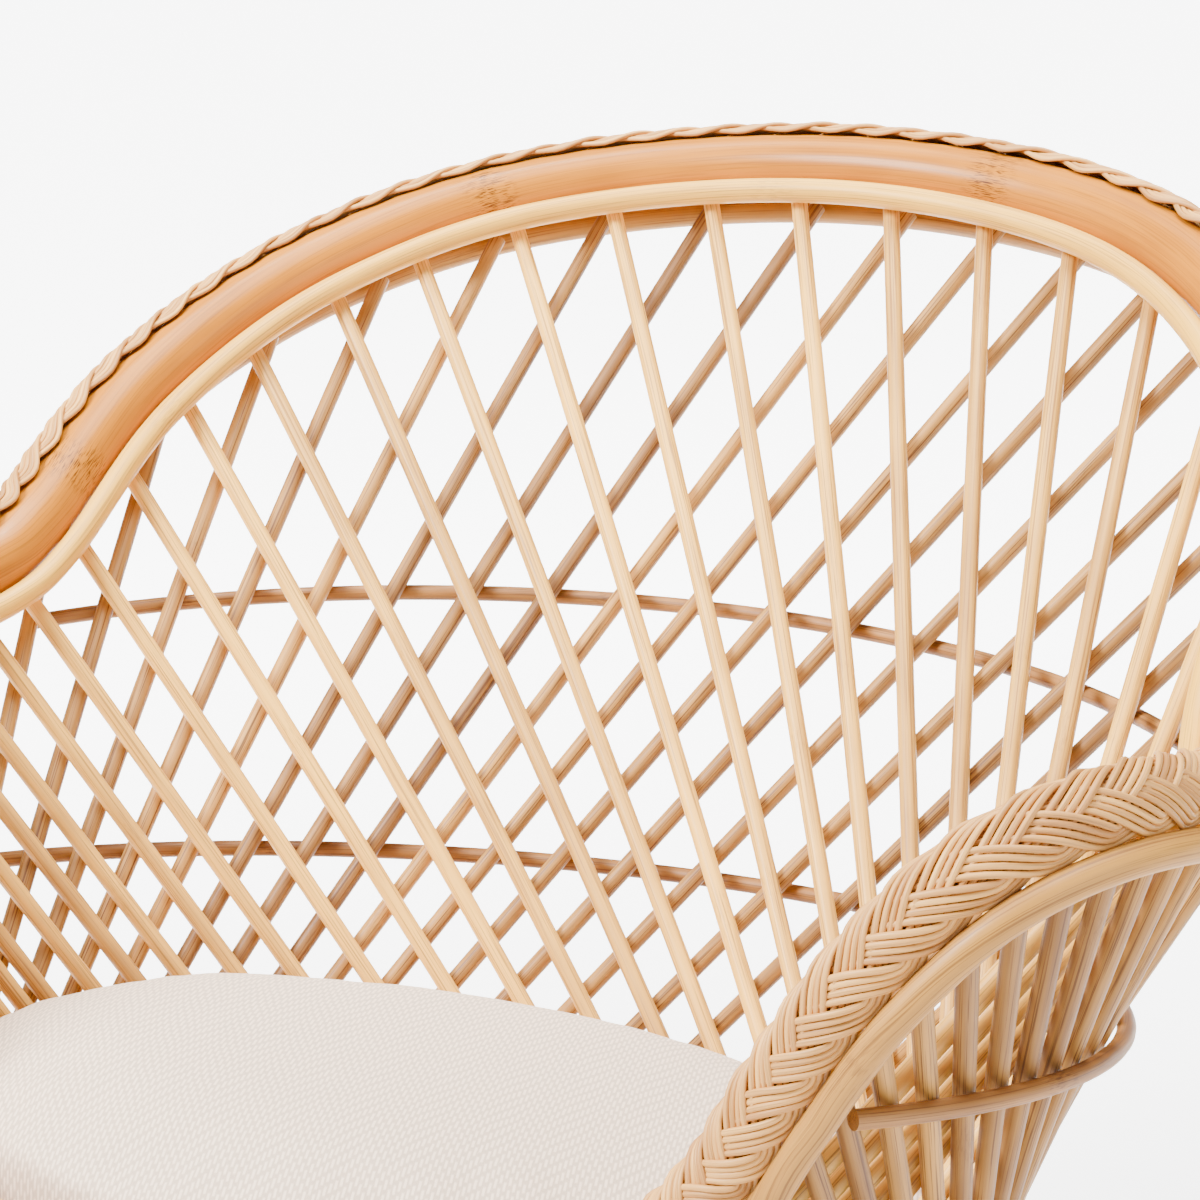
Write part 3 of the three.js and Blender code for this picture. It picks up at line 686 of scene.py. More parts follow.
    def pole_radius(self, lengths: np.ndarray) -> np.ndarray:
        """The rim pole's radius at lengths along the course."""
        return self._read(self.radius, lengths)

    def arm_part(self, lengths: np.ndarray) -> np.ndarray:
        """How far the rim has passed from hoop, 0, to arm, 1, at lengths along the course."""
        return self._read(self.arm_share, lengths)

    def braid_reach(self, lengths: np.ndarray) -> tuple[np.ndarray, np.ndarray]:
        """How far the plait reaches round the pole inwards and outwards from its crest, in radians."""
        return self._read(self.braid_inside, lengths), self._read(self.braid_outside, lengths)

    def round_pole(self, lengths: np.ndarray, turn: np.ndarray,
                   away: np.ndarray) -> tuple[np.ndarray, np.ndarray]:
        """Points on a sleeve round the rim pole.

        Args:
            lengths: lengths along the course.
            turn: angles from the pole's crest towards the outside of the wall, in radians.
            away: distances from the pole's axis.

        Returns:
            The points, and the directions in which they face.
        """
        facing = (self._read(self.up, lengths) * np.cos(turn)[:, None]
                  + self._read(self.normal, lengths) * np.sin(turn)[:, None])
        facing /= np.linalg.norm(facing, axis=1, keepdims=True)
        return self.pole_axis(lengths) + facing * away[:, None], facing


# Sweeping

@dataclass
class Strand:
    """One rod, pole or cane: the points of its axis and its thickness along them."""

    points: np.ndarray
    radius: np.ndarray
    tint: float
    facing: np.ndarray | None = None
    start: float = 0.0


class Sweeper:
    """Skins strands with one Geometry Nodes tree that sweeps a round or flattened section along them."""

    def __init__(self) -> None:
        """Builds the tree once for the whole chair."""
        self.tree = bpy.data.node_groups.new("strand_sweep", "GeometryNodeTree")
        self._inputs: dict[str, str] = {}
        self._write()

    def _socket(self, name: str, kind: str, default: object = None) -> None:
        """Adds a named input to the tree."""
        made = self.tree.interface.new_socket(name=name, in_out="INPUT", socket_type=kind)
        if default is not None:
            made.default_value = default
        self._inputs[name] = made.identifier

    def _node(self, kind: str, settings: dict | None = None, inputs: dict | None = None) -> bpy.types.Node:
        """Adds a node with its settings, then its values or links."""
        made = self.tree.nodes.new(kind)
        for key, value in (settings or {}).items():
            setattr(made, key, value)
        for key, value in (inputs or {}).items():
            if isinstance(value, bpy.types.NodeSocket):
                self.tree.links.new(value, made.inputs[key])
            else:
                made.inputs[key].default_value = value
        return made

    def _named(self, name: str, kind: str) -> bpy.types.NodeSocket:
        """Reads a named attribute of the strands."""
        made = self._node("GeometryNodeInputNamedAttribute", {"data_type": kind}, {"Name": name})
        return made.outputs["Attribute"]

    def _store(self, geometry: bpy.types.NodeSocket, name: str, kind: str,
               value: bpy.types.NodeSocket) -> bpy.types.NodeSocket:
        """Stores a value on every point under a name."""
        made = self._node("GeometryNodeStoreNamedAttribute", {"data_type": kind, "domain": "POINT"}, {
            "Geometry": geometry, "Name": name, "Value": value})
        return made.outputs["Geometry"]

    def _write(self) -> None:
        """Writes the tree: strands to curves, section swept along them, grain stored, material set."""
        self._socket("Strands", "NodeSocketGeometry")
        self._socket("Sides", "NodeSocketInt", 12)
        self._socket("Flatness", "NodeSocketFloat", 1.0)
        self._socket("Material", "NodeSocketMaterial")
        self.tree.interface.new_socket(name="Skin", in_out="OUTPUT", socket_type="NodeSocketGeometry")
        given = self._node("NodeGroupInput").outputs
        rails = self._node("GeometryNodeMeshToCurve", {}, {"Mesh": given["Strands"]}).outputs["Curve"]
        rails = self._node("GeometryNodeSetCurveNormal", {"mode": "FREE"}, {
            "Curve": rails, "Normal": self._named("facing", "FLOAT_VECTOR")}).outputs["Curve"]
        rails = self._node("GeometryNodeSetCurveRadius", {}, {
            "Curve": rails, "Radius": self._named("width", "FLOAT")}).outputs["Curve"]
        circle = self._node("GeometryNodeCurvePrimitiveCircle", {"mode": "RADIUS"}, {
            "Resolution": given["Sides"], "Radius": 1.0}).outputs["Curve"]
        corner = self._node("GeometryNodeInputPosition").outputs[0]
        circle = self._store(circle, "section", "FLOAT_VECTOR", corner)
        squeeze = self._node("ShaderNodeCombineXYZ", {}, {
            "X": given["Flatness"], "Y": 1.0, "Z": 1.0}).outputs[0]
        circle = self._node("GeometryNodeTransform", {}, {
            "Geometry": circle, "Scale": squeeze}).outputs["Geometry"]
        sweep = self._node("GeometryNodeCurveToMesh", {}, {
            "Curve": rails, "Profile Curve": circle, "Fill Caps": True})
        if "Scale" in sweep.inputs:
            self.tree.links.new(self._named("width", "FLOAT"), sweep.inputs["Scale"])
        spread = self._node("ShaderNodeVectorMath", {"operation": "SCALE"}, {
            0: self._named("section", "FLOAT_VECTOR"),
            "Scale": self._named("width", "FLOAT")}).outputs["Vector"]
        along = self._node("ShaderNodeCombineXYZ", {}, {"Z": self._named("along", "FLOAT")}).outputs[0]
        grain = self._node("ShaderNodeVectorMath", {"operation": "ADD"}, {
            0: spread, 1: along}).outputs["Vector"]
        apart = self._node("ShaderNodeVectorMath", {"operation": "SCALE"}, {
            0: (3.1, 1.7, 0.0), "Scale": self._named("tint", "FLOAT")}).outputs["Vector"]
        grain = self._node("ShaderNodeVectorMath", {"operation": "ADD"}, {
            0: grain, 1: apart}).outputs["Vector"]
        skin = self._store(sweep.outputs["Mesh"], "grain", "FLOAT_VECTOR", grain)
        skin = self._node("GeometryNodeSetShadeSmooth", {}, {
            "Geometry": skin, "Shade Smooth": True}).outputs[0]
        skin = self._node("GeometryNodeRealizeInstances", {}, {"Geometry": skin}).outputs[0]
        skin = self._node("GeometryNodeSetMaterial", {}, {
            "Geometry": skin, "Material": given["Material"]}).outputs[0]
        self._node("NodeGroupOutput", {}, {"Skin": skin})

    def _strand_mesh(self, name: str, strands: Sequence[Strand]) -> bpy.types.Mesh:
        """Puts strands into one mesh of edges, with their thickness, tint and length as attributes."""
        counts = [len(strand.points) for strand in strands]
        starts = np.cumsum([0, *counts[:-1]])
        edges = [(start + k, start + k + 1) for start, count in zip(starts, counts) for k in range(count - 1)]
        mesh = bpy.data.meshes.new(name)
        mesh.from_pydata(np.concatenate([s.points for s in strands]).tolist(), edges, [])

        def lengths(strand: Strand) -> np.ndarray:
            """Length along a strand at each of its points."""
            steps = np.linalg.norm(np.diff(strand.points, axis=0), axis=1)
            return strand.start + np.concatenate([[0.0], np.cumsum(steps)])

        fields = {
            "width": np.concatenate([s.radius for s in strands]),
            "tint": np.concatenate([np.full(len(s.points), s.tint) for s in strands]),
            "along": np.concatenate([lengths(s) + s.tint * 5.0 for s in strands]),
        }
        for key, values in fields.items():
            mesh.attributes.new(key, "FLOAT", "POINT").data.foreach_set("value", values.astype(np.float32))
        facing = np.concatenate([self._facing(s) for s in strands]).astype(np.float32)
        mesh.attributes.new("facing", "FLOAT_VECTOR", "POINT").data.foreach_set("vector", facing.ravel())
        return mesh

    def _facing(self, strand: Strand) -> np.ndarray:
        """The direction in which a strand's section faces, square to its course at each point."""
        if strand.facing is not None:
            return strand.facing
        course = np.gradient(strand.points, axis=0)
        course /= np.linalg.norm(course, axis=1, keepdims=True)
        side = np.cross(course, (0.31, 0.17, 0.935))
        return side / np.linalg.norm(side, axis=1, keepdims=True)

    def skin(self, name: str, strands: Sequence[Strand], material: bpy.types.Material, sides: int,
             flatness: float = 1.0) -> bpy.types.Object:
        """Sweeps strands into one finished piece.

        Args:
            name: the piece's name.
            strands: what it is made of.
            material: its finish.
            sides: facets round each strand.
            flatness: thickness of the section as a share of its width.

        Returns:
            The piece as a plain mesh at the origin.
        """
        source = bpy.data.objects.new(name + "_strands", self._strand_mesh(name + "_strands", strands))
        bpy.context.collection.objects.link(source)
        modifier = source.modifiers.new("sweep", "NODES")
        modifier.node_group = self.tree
        modifier[self._inputs["Sides"]] = sides
        modifier[self._inputs["Flatness"]] = flatness
        modifier[self._inputs["Material"]] = material
        depsgraph = bpy.context.evaluated_depsgraph_get()
        mesh = bpy.data.meshes.new_from_object(
            source.evaluated_get(depsgraph), preserve_all_data_layers=True, depsgraph=depsgraph)
        source.modifiers.remove(modifier)
        bpy.data.objects.remove(source)
        mesh.name = name
        piece = bpy.data.objects.new(name, mesh)
        bpy.context.collection.objects.link(piece)
        return piece


def settle(piece: bpy.types.Object, body: str, nodes: Iterable[str]) -> bpy.types.Object:
    """Rides a finished piece on its body and lets it stand for its solids.

    Args:
        piece: the piece.
        body: the body that carries it.
        nodes: the solids that it stands for.

    Returns:
        The same piece.
    """
    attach(piece, body)
    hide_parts(*nodes)
    faces = sum(len(p.vertices) - 2 for p in piece.data.polygons)
    LOG.info("%s: %d triangles on %s", piece.name, faces, body)
    return piece


# Sub-assemblies

@dataclass
class Lattice:
    """Two layers of straight rods that end against the rim pole."""

    wall: Wall
    rim: Rim
    count: int = 48
    foot: float = 0.005
    inner_back: tuple[float, ...] = (
        -10.4, -2.5, 5.5, 12.7, 19.4, 26.3, 32.9, 39.2, 46.3, 53.6, 61.5,
        68.9, 77.3, 85.1, 93.5, 102.1, 110.5, 117.4, 124.1, 129.9, 135.8, 142.2)
    outer_back: tuple[float, ...] = (
        89.1, 97.2, 105.8, 114.6, 122.5, 129.9, 137.1, 144.0, 150.5, 157.5, 164.4, 171.1, 178.1, 184.7, 191.4)
    clearance: float = 0.0005
    sides: int = 12
    stops: int = 7

    def angles(self, layer: Layer) -> list[float]:
        """The waist angles of a layer's rods: the back's as they were set, the rest at equal steps.

        Args:
            layer: the layer.

        Returns:
            One angle for each rod, in radians from +X.
        """
        back = self.inner_back if layer is Layer.INNER else self.outer_back
        rest = self.count - len(back)
        step = (360 - back[-1] + back[0]) / (rest + 1)
        front = [back[-1] + (k + 1) * step for k in range(rest)]
        return [math.radians(degrees) for degrees in (*back, *front)]

    def top(self, angle: float, layer: Layer, axis: np.ndarray, radius: np.ndarray) -> float:
        """The height at which a rod comes up against the rim pole.

        Args:
            angle: the rod's angle at the waist.
            layer: its layer.
            axis: points along the rim pole's axis.
            radius: the pole's radius at those points.

        Returns:
            Height above the waist.
        """
        base = np.array(self.wall.rod_point(angle, layer, 0.0))
        rise = np.array(self.wall.rod_point(angle, layer, 1.0)) - base
        along = rise / np.linalg.norm(rise)
        across = np.cross((0.0, 0.0, 1.0), along)
        across /= np.linalg.norm(across)
        over = np.cross(along, across)
        turn = np.linspace(0, 2 * math.pi, 12, endpoint=False)
        edge = self.wall.rod_radius * (np.cos(turn)[:, None] * across + np.sin(turn)[:, None] * over)

        def clear(height: float) -> bool:
            """Whether the rod's end is still clear of the pole."""
            spots = base + rise * height + edge
            away = np.linalg.norm(spots[:, None, :] - axis[None, :, :], axis=2)
            return bool(np.all(away > radius + self.clearance))

        free = 0.0
        while clear(free + 0.006):
            free += 0.006
        stopped = free + 0.006
        for _ in range(8):
            middle = (free + stopped) / 2
            if clear(middle):
                free = middle
            else:
                stopped = middle
        return free

    def ends_on_arm(self, angle: float, layer: Layer, top: float) -> bool:
        """Whether a rod comes up against an arm.

        Args:
            angle: the rod's angle at the waist.
            layer: its layer.
            top: the height of its end above the waist.

        Returns:
            True on an arm, False on the hoop and the front.
        """
        turned = angle + layer.value * math.atan(top / self.wall.flare)
        from_back = abs(math.degrees(math.atan2(math.cos(turned), math.sin(turned))))
        _, low, high = Span.ARM_RIGHT.value
        return low < from_back < high

    def rods(self, layer: Layer) -> list[tuple[float, float]]:
        """A layer's rods, with one more between each two that end on an arm.

        Args:
            layer: the layer.

        Returns:
            Each rod's angle at the waist and the height of its end.
        """
        lengths = np.linspace(0, self.rim.length, 600, endpoint=False)
        axis = self.rim.pole_axis(lengths)
        radius = self.rim.pole_radius(lengths)
        spaced = [(angle, self.top(angle, layer, axis, radius)) for angle in self.angles(layer)]
        made = []
        for (angle, top), (further, next_top) in zip(spaced, spaced[1:] + spaced[:1]):
            made.append((angle, top))
            if self.ends_on_arm(angle, layer, top) and self.ends_on_arm(further, layer, next_top):
                between = angle + math.remainder(further - angle, 2 * math.pi) / 2
                made.append((between, self.top(between, layer, axis, radius)))
        return made

    def strands(self, layer: Layer) -> list[Strand]:
        """A layer's rods, each with a little unevenness of thickness."""
        chance = random.Random(SEED + layer.value)
        made = []
        for angle, top in self.rods(layer):
            heights = np.linspace(self.foot - self.wall.waist_height, top, self.stops)
            points = np.array([self.wall.rod_point(angle, layer, h) for h in heights])
            width = self.wall.rod_radius * np.array([chance.uniform(0.965, 1.0) for _ in heights])
            made.append(Strand(points, width, chance.random()))
        return made

    def build(self, sweeper: Sweeper) -> list[bpy.types.Object]:
        """Builds and dresses both layers.

        Args:
            sweeper: skins the strands.

        Returns:
            The inner and outer layer.
        """
        panels = [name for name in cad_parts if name.startswith("lattice_panel")]
        made = []
        # The outer layer's finish is the inner rods' cane coloured darker as painted shade.
        layers = ((Layer.INNER, "rods_inner", INNER_ROD), (Layer.OUTER, "rods_outer", OUTER_ROD_PAINTED_SHADE))
        for layer, name, finish in layers:
            piece = sweeper.skin(name, self.strands(layer), finish.build(), self.sides)
            made.append(settle(piece, FRAME_BODY, panels))
        return made


@dataclass
class RimWork:
    """The bent poles of the rim and the cane plait over them."""

    rim: Rim
    step: float = 0.006
    plait_step: float = 0.0028
    canes: int = 4
    ribbons: int = 5
    ribbon_share: float = 0.25
    pitch_share: float = 2.8
    hoop_stretch: float = 0.25
    plait_rise: float = 0.0013
    plait_tuck: float = 0.0036
    cane_flatness: float = 0.85
    pole_sides: int = 28
    slim_sides: int = 18
    cane_sides: int = 8

    def lengths(self, span: Span, step: float) -> np.ndarray:
        """Evenly spaced lengths along a stretch of the rim."""
        start, end = self.rim.ends(span)
        gap = 0.00015
        return np.linspace(start + gap, end - gap, max(8, int((end - start) / step)))

    def pole(self, span: Span) -> Strand:
        """The thick rim pole of a stretch, with a slight swelling at its growth joints."""
        lengths = self.lengths(span, self.step)
        radius = self.rim.pole_radius(lengths)
        spacing = SKIN_POLE.joint_spacing
        swell = np.exp(-(((lengths / spacing) % 1 - 0.5) * spacing / 0.006) ** 2)
        radius = radius * (0.985 + 0.015 * swell)
        return Strand(self.rim.pole_axis(lengths), radius, 0.0, start=float(lengths[0]))

    def slim(self, span: Span, side: int) -> Strand:
        """A slim pole of a stretch, inside or outside the wall."""
        lengths = self.lengths(span, self.step)
        radius = np.full(len(lengths), self.rim.sizes.slim_radius)
        return Strand(self.rim.slim_axis(lengths, side), radius, 0.15 + 0.2 * side, start=float(lengths[0]))

    def plait(self, span: Span) -> list[Strand]:
        """The plait of a stretch: ribbons of flat canes, each over its neighbours on its way to the edge.

        Args:
            span: the stretch of the rim.

        Returns:
            Every cane of the stretch.
        """
        sizes = self.rim.sizes
        chance = random.Random(SEED + sum(map(ord, span.value[0])))
        start, end = self.rim.ends(span)
        lengths = np.linspace(start, end, int((end - start) / self.plait_step))
        middle = self.rim.pole_radius(lengths) + sizes.clearance + sizes.braid_thickness / 2
        inside, outside = self.rim.braid_reach(lengths)
        slack = 1 - 0.75 * self.rim.arm_part(lengths)
        half = middle * (inside + outside) / 2
        ribbon = self.ribbon_share * half
        reach = half - ribbon
        pitch = self.pitch_share * 2 * reach * (1 + self.hoop_stretch * (1 - self.rim.arm_part(lengths)))
        turns = np.cumsum(np.diff(lengths) / ((pitch[1:] + pitch[:-1]) / 2))
        phase = np.concatenate([[0.0], turns]) * 2 * math.pi
        centre = (outside - inside) / 2
        made = []
        for number in range(self.ribbons):
            turn = phase + 2 * math.pi * number / self.ribbons
            aside = reach * np.arcsin(0.96 * np.sin(turn)) / math.asin(0.96)
            rise = -self.plait_rise * np.sin(2 * turn)
            slope = np.gradient(aside, lengths)
            square = np.stack([-slope, np.ones_like(slope)], axis=1)
            square /= np.linalg.norm(square, axis=1, keepdims=True)
            for cane in range(self.canes):
                offset = (cane - (self.canes - 1) / 2) * 2 * ribbon / self.canes
                along = np.clip(lengths + square[:, 0] * offset, start + 0.0002, end - 0.0002)
                wide = aside + square[:, 1] * offset
                tuck = self.plait_tuck * np.minimum(np.abs(wide) / half, 1.0) ** 4
                tuck = np.where(wide > 0, tuck * slack, tuck)
                lift = middle + rise - tuck + 0.0004 * math.cos(1.9 * cane) + 0.0003 * chance.uniform(-1, 1)
                points, facing = self.rim.round_pole(along, centre + wide / middle, lift)
                made.append(Strand(points, ribbon / self.canes * 1.06, chance.random(), facing))
        return made

    def build(self, sweeper: Sweeper) -> list[bpy.types.Object]:
        """Builds and dresses the rim's poles and plait, stretch by stretch.

        Args:
            sweeper: skins the strands.

        Returns:
            All the rim's pieces.
        """
        finishes = (SKIN_POLE, PEELED_POLE, REAR_POLE_PAINTED_SHADE, PLAIT_CANE)
        # rear is the peeled-pole finish coloured darker as painted shade, for the outer slim poles.
        skin, peeled, rear, cane = (finish.build() for finish in finishes)
        made = []
        for span in Span:
            name = span.value[0]
            jobs = (
                ("pole", [self.pole(span)], skin, self.pole_sides, 1.0, "varnished_pole"),
                ("inner_pole", [self.slim(span, -1)], peeled, self.slim_sides, 1.0, "peeled_pole"),
                ("outer_pole", [self.slim(span, 1)], rear, self.slim_sides, 1.0, "peeled_pole"),
                ("braid", self.plait(span), cane, self.cane_sides, self.cane_flatness, "plait"),
            )
            for kind, strands, material, sides, flatness, slot in jobs:
                node = f"{name}_{kind}"
                piece = sweeper.skin(node + "_dressed", strands, material, sides, flatness)
                made.append(settle(piece, FRAME_BODY, [node]))
        return made


@dataclass(frozen=True)
class RingCourse:
    """A ring's way round the lattice: height over the waist, slope to +X and the rear, reach in degrees."""

    node: str
    height: float
    slope: tuple[float, float]
    reach: float
    radius: float
    tint: float


UPPER_RING = RingCourse(
    "upper_ring", height=0.2625, slope=(-0.011, 0.038), reach=64.0, radius=0.0040, tint=0.35)
LOWER_RING = RingCourse(
    "lower_ring", height=0.1895, slope=(0.024, -0.136), reach=125.0, radius=0.0040, tint=0.60)
WAIST_RING = RingCourse(
    "waist_ring", height=0.0, slope=(0.0, 0.0), reach=180.0, radius=0.0065, tint=0.40)


@dataclass
class OuterRings:
    """Thin rods and a pole nailed round the outside of the lattice."""

    wall: Wall
    stops: int = 200
    sides: int = 14
    clearance: float = 0.0005

    def strand(self, ring: RingCourse) -> Strand:
        """One ring.

        Args:
            ring: its course and thickness.

        Returns:
            The ring's strand, closed on itself where it goes all the way round.
        """
        points = []
        for angle in np.radians(np.linspace(90 - ring.reach, 90 + ring.reach, self.stops)):
            level = ring.height
            for _ in range(6):
                spot = self.wall.point(angle, level)
                level = ring.height + ring.slope[0] * spot.x + ring.slope[1] * (spot.y - self.wall.shift)
            out = self.wall.layer_distance(angle, level) + self.wall.rod_radius + ring.radius + self.clearance
            points.append(self.wall.point(angle, level) + self.wall.normal(angle, level) * out)
        return Strand(np.array(points), np.full(self.stops, ring.radius), ring.tint)

    def build(self, sweeper: Sweeper) -> list[bpy.types.Object]:
        """Builds and dresses the three rings.

        Args:
            sweeper: skins the strands.

        Returns:
            The three pieces.
        """
        brown, peeled = RING_ROD.build(), PEELED_POLE.build()
        made = []
        jobs = (
            (UPPER_RING, brown, "ring_rod"),
            (LOWER_RING, brown, "ring_rod"),
            (WAIST_RING, peeled, "peeled_pole"),
        )
        for ring, material, slot in jobs:
            piece = sweeper.skin(ring.node + "_dressed", [self.strand(ring)], material, self.sides)
            made.append(settle(piece, FRAME_BODY, [ring.node]))
        return made


@dataclass
class Base:
    """The two hoops that hold the rods' feet."""

    wall: Wall
    radius: float = 0.010
    clearance: float = 0.0005
    stops: int = 220
    sides: int = 20

    def strand(self, side: int) -> Strand:
        """The hoop inside (-1) or outside (1) the feet."""
        height = self.radius - self.wall.waist_height
        corner = self.radius / math.cos(math.pi / 8)
        points = []
        for angle in np.linspace(0, 2 * math.pi, self.stops):
            normal = self.wall.normal(angle, height)
            level = Vector((normal.x, normal.y, 0.0)).normalized()
            away = self.wall.layer_distance(angle, height) + self.wall.rod_radius + corner + self.clearance
            points.append(self.wall.point(angle, height) + level * (side * away / normal.dot(level)))
        return Strand(np.array(points), np.full(self.stops, self.radius), 0.45 + 0.1 * side)

    def build(self, sweeper: Sweeper) -> list[bpy.types.Object]:
        """Builds and dresses both hoops.

        Args:
            sweeper: skins the strands.

        Returns:
            The inner and the outer hoop.
        """
        peeled = PEELED_POLE.build()
        made = []
        for node, side in (("floor_hoop_inner", -1), ("floor_hoop_outer", 1)):
            piece = sweeper.skin(node + "_dressed", [self.strand(side)], peeled, self.sides)
            made.append(settle(piece, FRAME_BODY, [node]))
        return made


@dataclass
class Seat:
    """The hoop, bars and woven deck under the pad."""

    bar_radius: float = 0.0085
    hoop_radius: float = 0.009

    def _loop(self, node: str, count: int) -> np.ndarray:
        """The axis of a closed hoop read from its solid's section corners."""
        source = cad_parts[node].data
        places = np.array([v.co for v in source.vertices])
        places = np.unique(np.round(places, 6), axis=0)
        middle = places.mean(axis=0)
        across = np.array((1.0, 0.0, 0.0))
        _, _, axes = np.linalg.svd(places - middle)
        square = axes[2]
        along = np.cross(square, across)
        angle = np.arctan2((places - middle) @ along, (places - middle) @ across)
        order = np.linspace(-math.pi, math.pi, count)
        reach = (places - middle) - np.outer((places - middle) @ square, square)
        radius = np.linalg.norm(reach, axis=1)
        smooth = []
        for turn in order:
            gap = np.abs(np.angle(np.exp(1j * (angle - turn))))
            near = gap < math.radians(7)
            weight = np.cos(gap[near] / math.radians(7) * math.pi / 2) ** 2
            smooth.append(float((radius[near] * weight).sum() / weight.sum()))
        rows = [middle + r * (math.cos(t) * across + math.sin(t) * along) for r, t in zip(smooth, order)]
        return np.array(rows)

    def build(self, sweeper: Sweeper) -> list[bpy.types.Object]:
        """Builds the hoop and bars and dresses the deck's own solid.

        Args:
            sweeper: skins the strands.

        Returns:
            The new pieces.
        """
        peeled = PEELED_POLE.build()
        axis = self._loop("seat_hoop", 160)
        strand = Strand(axis, np.full(len(axis), self.hoop_radius), 0.5)
        hoop = sweeper.skin("seat_hoop_dressed", [strand], peeled, 18)
        made = [settle(hoop, FRAME_BODY, ["seat_hoop"])]
        bars = [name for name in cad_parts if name.startswith("seat_bar")]
        strands = []
        for number, name in enumerate(bars):
            places = np.array([v.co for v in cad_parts[name].data.vertices])
            low = places[places[:, 1] < places[:, 1].mean()].mean(axis=0)
            high = places[places[:, 1] > places[:, 1].mean()].mean(axis=0)
            points = np.linspace(low, high, 8)
            strands.append(Strand(points, np.full(8, self.bar_radius), 0.3 + 0.2 * number))
        piece = sweeper.skin("seat_bars_dressed", strands, peeled, 16)
        made.append(settle(piece, FRAME_BODY, bars))
        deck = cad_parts["seat_deck"]
        deck.data.materials.clear()
        deck.data.materials.append(CaneDeckFinish().build())
        return made


@dataclass
class Pad:
    """The loose round pad: blown up as cloth from its solid, flat where it lies on the deck."""

    voxel: float = 0.005
    start_inset: float = 0.004
    pressure: float = 4.0
    frames: int = 20
    cap: float = 0.007
    rise_share: float = 0.3
    fill: float = 0.7
    lie: tuple[float, float, float] = (-0.003, -0.035, -0.2)

    def _base(self) -> bpy.types.Object:
        """A closed copy of the pad's solid, a little smaller than it."""
        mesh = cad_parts["seat_cushion"].data.copy()
        work = bmesh.new()
        work.from_mesh(mesh)
        bmesh.ops.remove_doubles(work, verts=work.verts, dist=1e-5)
        bmesh.ops.recalc_face_normals(work, faces=work.faces)
        work.normal_update()
        for vertex in work.verts:
            vertex.co -= vertex.normal * self.start_inset
        work.to_mesh(mesh)
        work.free()
        piece = bpy.data.objects.new("seat_pad", mesh)
        bpy.context.collection.objects.link(piece)
        return piece

    def _apply(self, piece: bpy.types.Object) -> None:
        """Turns a piece's modifiers into its plain mesh."""
        depsgraph = bpy.context.evaluated_depsgraph_get()
        mesh = bpy.data.meshes.new_from_object(piece.evaluated_get(depsgraph), depsgraph=depsgraph)
        piece.modifiers.clear()
        old = piece.data
        piece.data = mesh
        bpy.data.meshes.remove(old)

    def _swell(self, piece: bpy.types.Object, slope: Vector) -> None:
        """Runs the cloth and keeps each point near where it started, more so upwards than sideways.

        Args:
            piece: the remeshed pad.
            slope: the deck's upward normal.
        """
        before = np.array([v.co for v in piece.data.vertices])
        depth = before @ np.array(slope)
        low = depth.min()
        group = piece.vertex_groups.new(name="laid")
        laid = [int(k) for k in np.nonzero(depth < low + 0.004)[0]]
        group.add(laid, 1.0, "REPLACE")
        cloth = piece.modifiers.new("swell", "CLOTH")
        cloth.settings.use_pressure = True
        cloth.settings.uniform_pressure_force = self.pressure
        cloth.settings.effector_weights.gravity = 0.0
        cloth.settings.vertex_group_mass = "laid"
        cloth.settings.quality = 5
        cloth.collision_settings.use_collision = False
        scene = bpy.context.scene
        cloth.point_cache.frame_start = 1
        cloth.point_cache.frame_end = self.frames
        for number in range(1, self.frames + 1):
            scene.frame_set(number)
        self._apply(piece)
        scene.frame_set(1)
        after = np.array([v.co for v in piece.data.vertices])
        move = after - before
        risen = move @ np.array(slope)
        move -= np.outer((1 - self.rise_share) * risen, np.array(slope))
        size = np.linalg.norm(move, axis=1, keepdims=True)
        move *= np.minimum(1.0, self.cap / np.maximum(size, 1e-9))
        placed = before + move
        under = placed @ np.array(slope) - low
        placed -= np.outer(np.minimum(under, 0.0), np.array(slope))
        piece.data.vertices.foreach_set("co", placed.astype(np.float32).ravel())
        piece.data.update()

    def _settle_filling(self, piece: bpy.types.Object, slope: Vector) -> None:
        """Lets the loose filling lie thicker on one side, as it does after use.

        Args:
            piece: the pad.
            slope: the deck's upward normal.
        """
        places = np.array([v.co for v in piece.data.vertices])
        depth = places @ np.array(slope)
        share = (depth - depth.min()) / (depth.max() - depth.min())
        aside = places[:, 0]
        places[:, 2] += share * (self.lie[0] + self.lie[1] * aside + self.lie[2] * aside * np.abs(aside))
        piece.data.vertices.foreach_set("co", places.astype(np.float32).ravel())
        piece.data.update()

    def build(self) -> bpy.types.Object:
        """Builds and dresses the pad.

        Returns:
            The pad, riding on its own body.
        """
        piece = self._base()
        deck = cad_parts["seat_deck"].data
        slope = max((p for p in deck.polygons), key=lambda p: p.normal.z * p.area).normal.copy()
        remesh = piece.modifiers.new("weave", "REMESH")
        remesh.mode = "VOXEL"
        remesh.voxel_size = self.voxel
        self._apply(piece)
        self._swell(piece, slope)
        smooth = piece.modifiers.new("round", "SMOOTH")
        smooth.factor = 0.5
        smooth.iterations = 3
        finer = piece.modifiers.new("finer", "SUBSURF")
        finer.levels = 1
        finer.render_levels = 1
        self._apply(piece)
        self._settle_filling(piece, slope)
        for polygon in piece.data.polygons:
            polygon.use_smooth = True
        piece.data.materials.clear()
        piece.data.materials.append(CottonFinish().build())
        return settle(piece, PAD_BODY, ["seat_cushion"])


@dataclass(frozen=True)
class Lamp:
    """One soft area light: where it hangs, what it points at, its width and length, its power in watts."""

    name: str
    place: tuple[float, float, float]
    aim: tuple[float, float, float]
    size: tuple[float, float]
    power: float


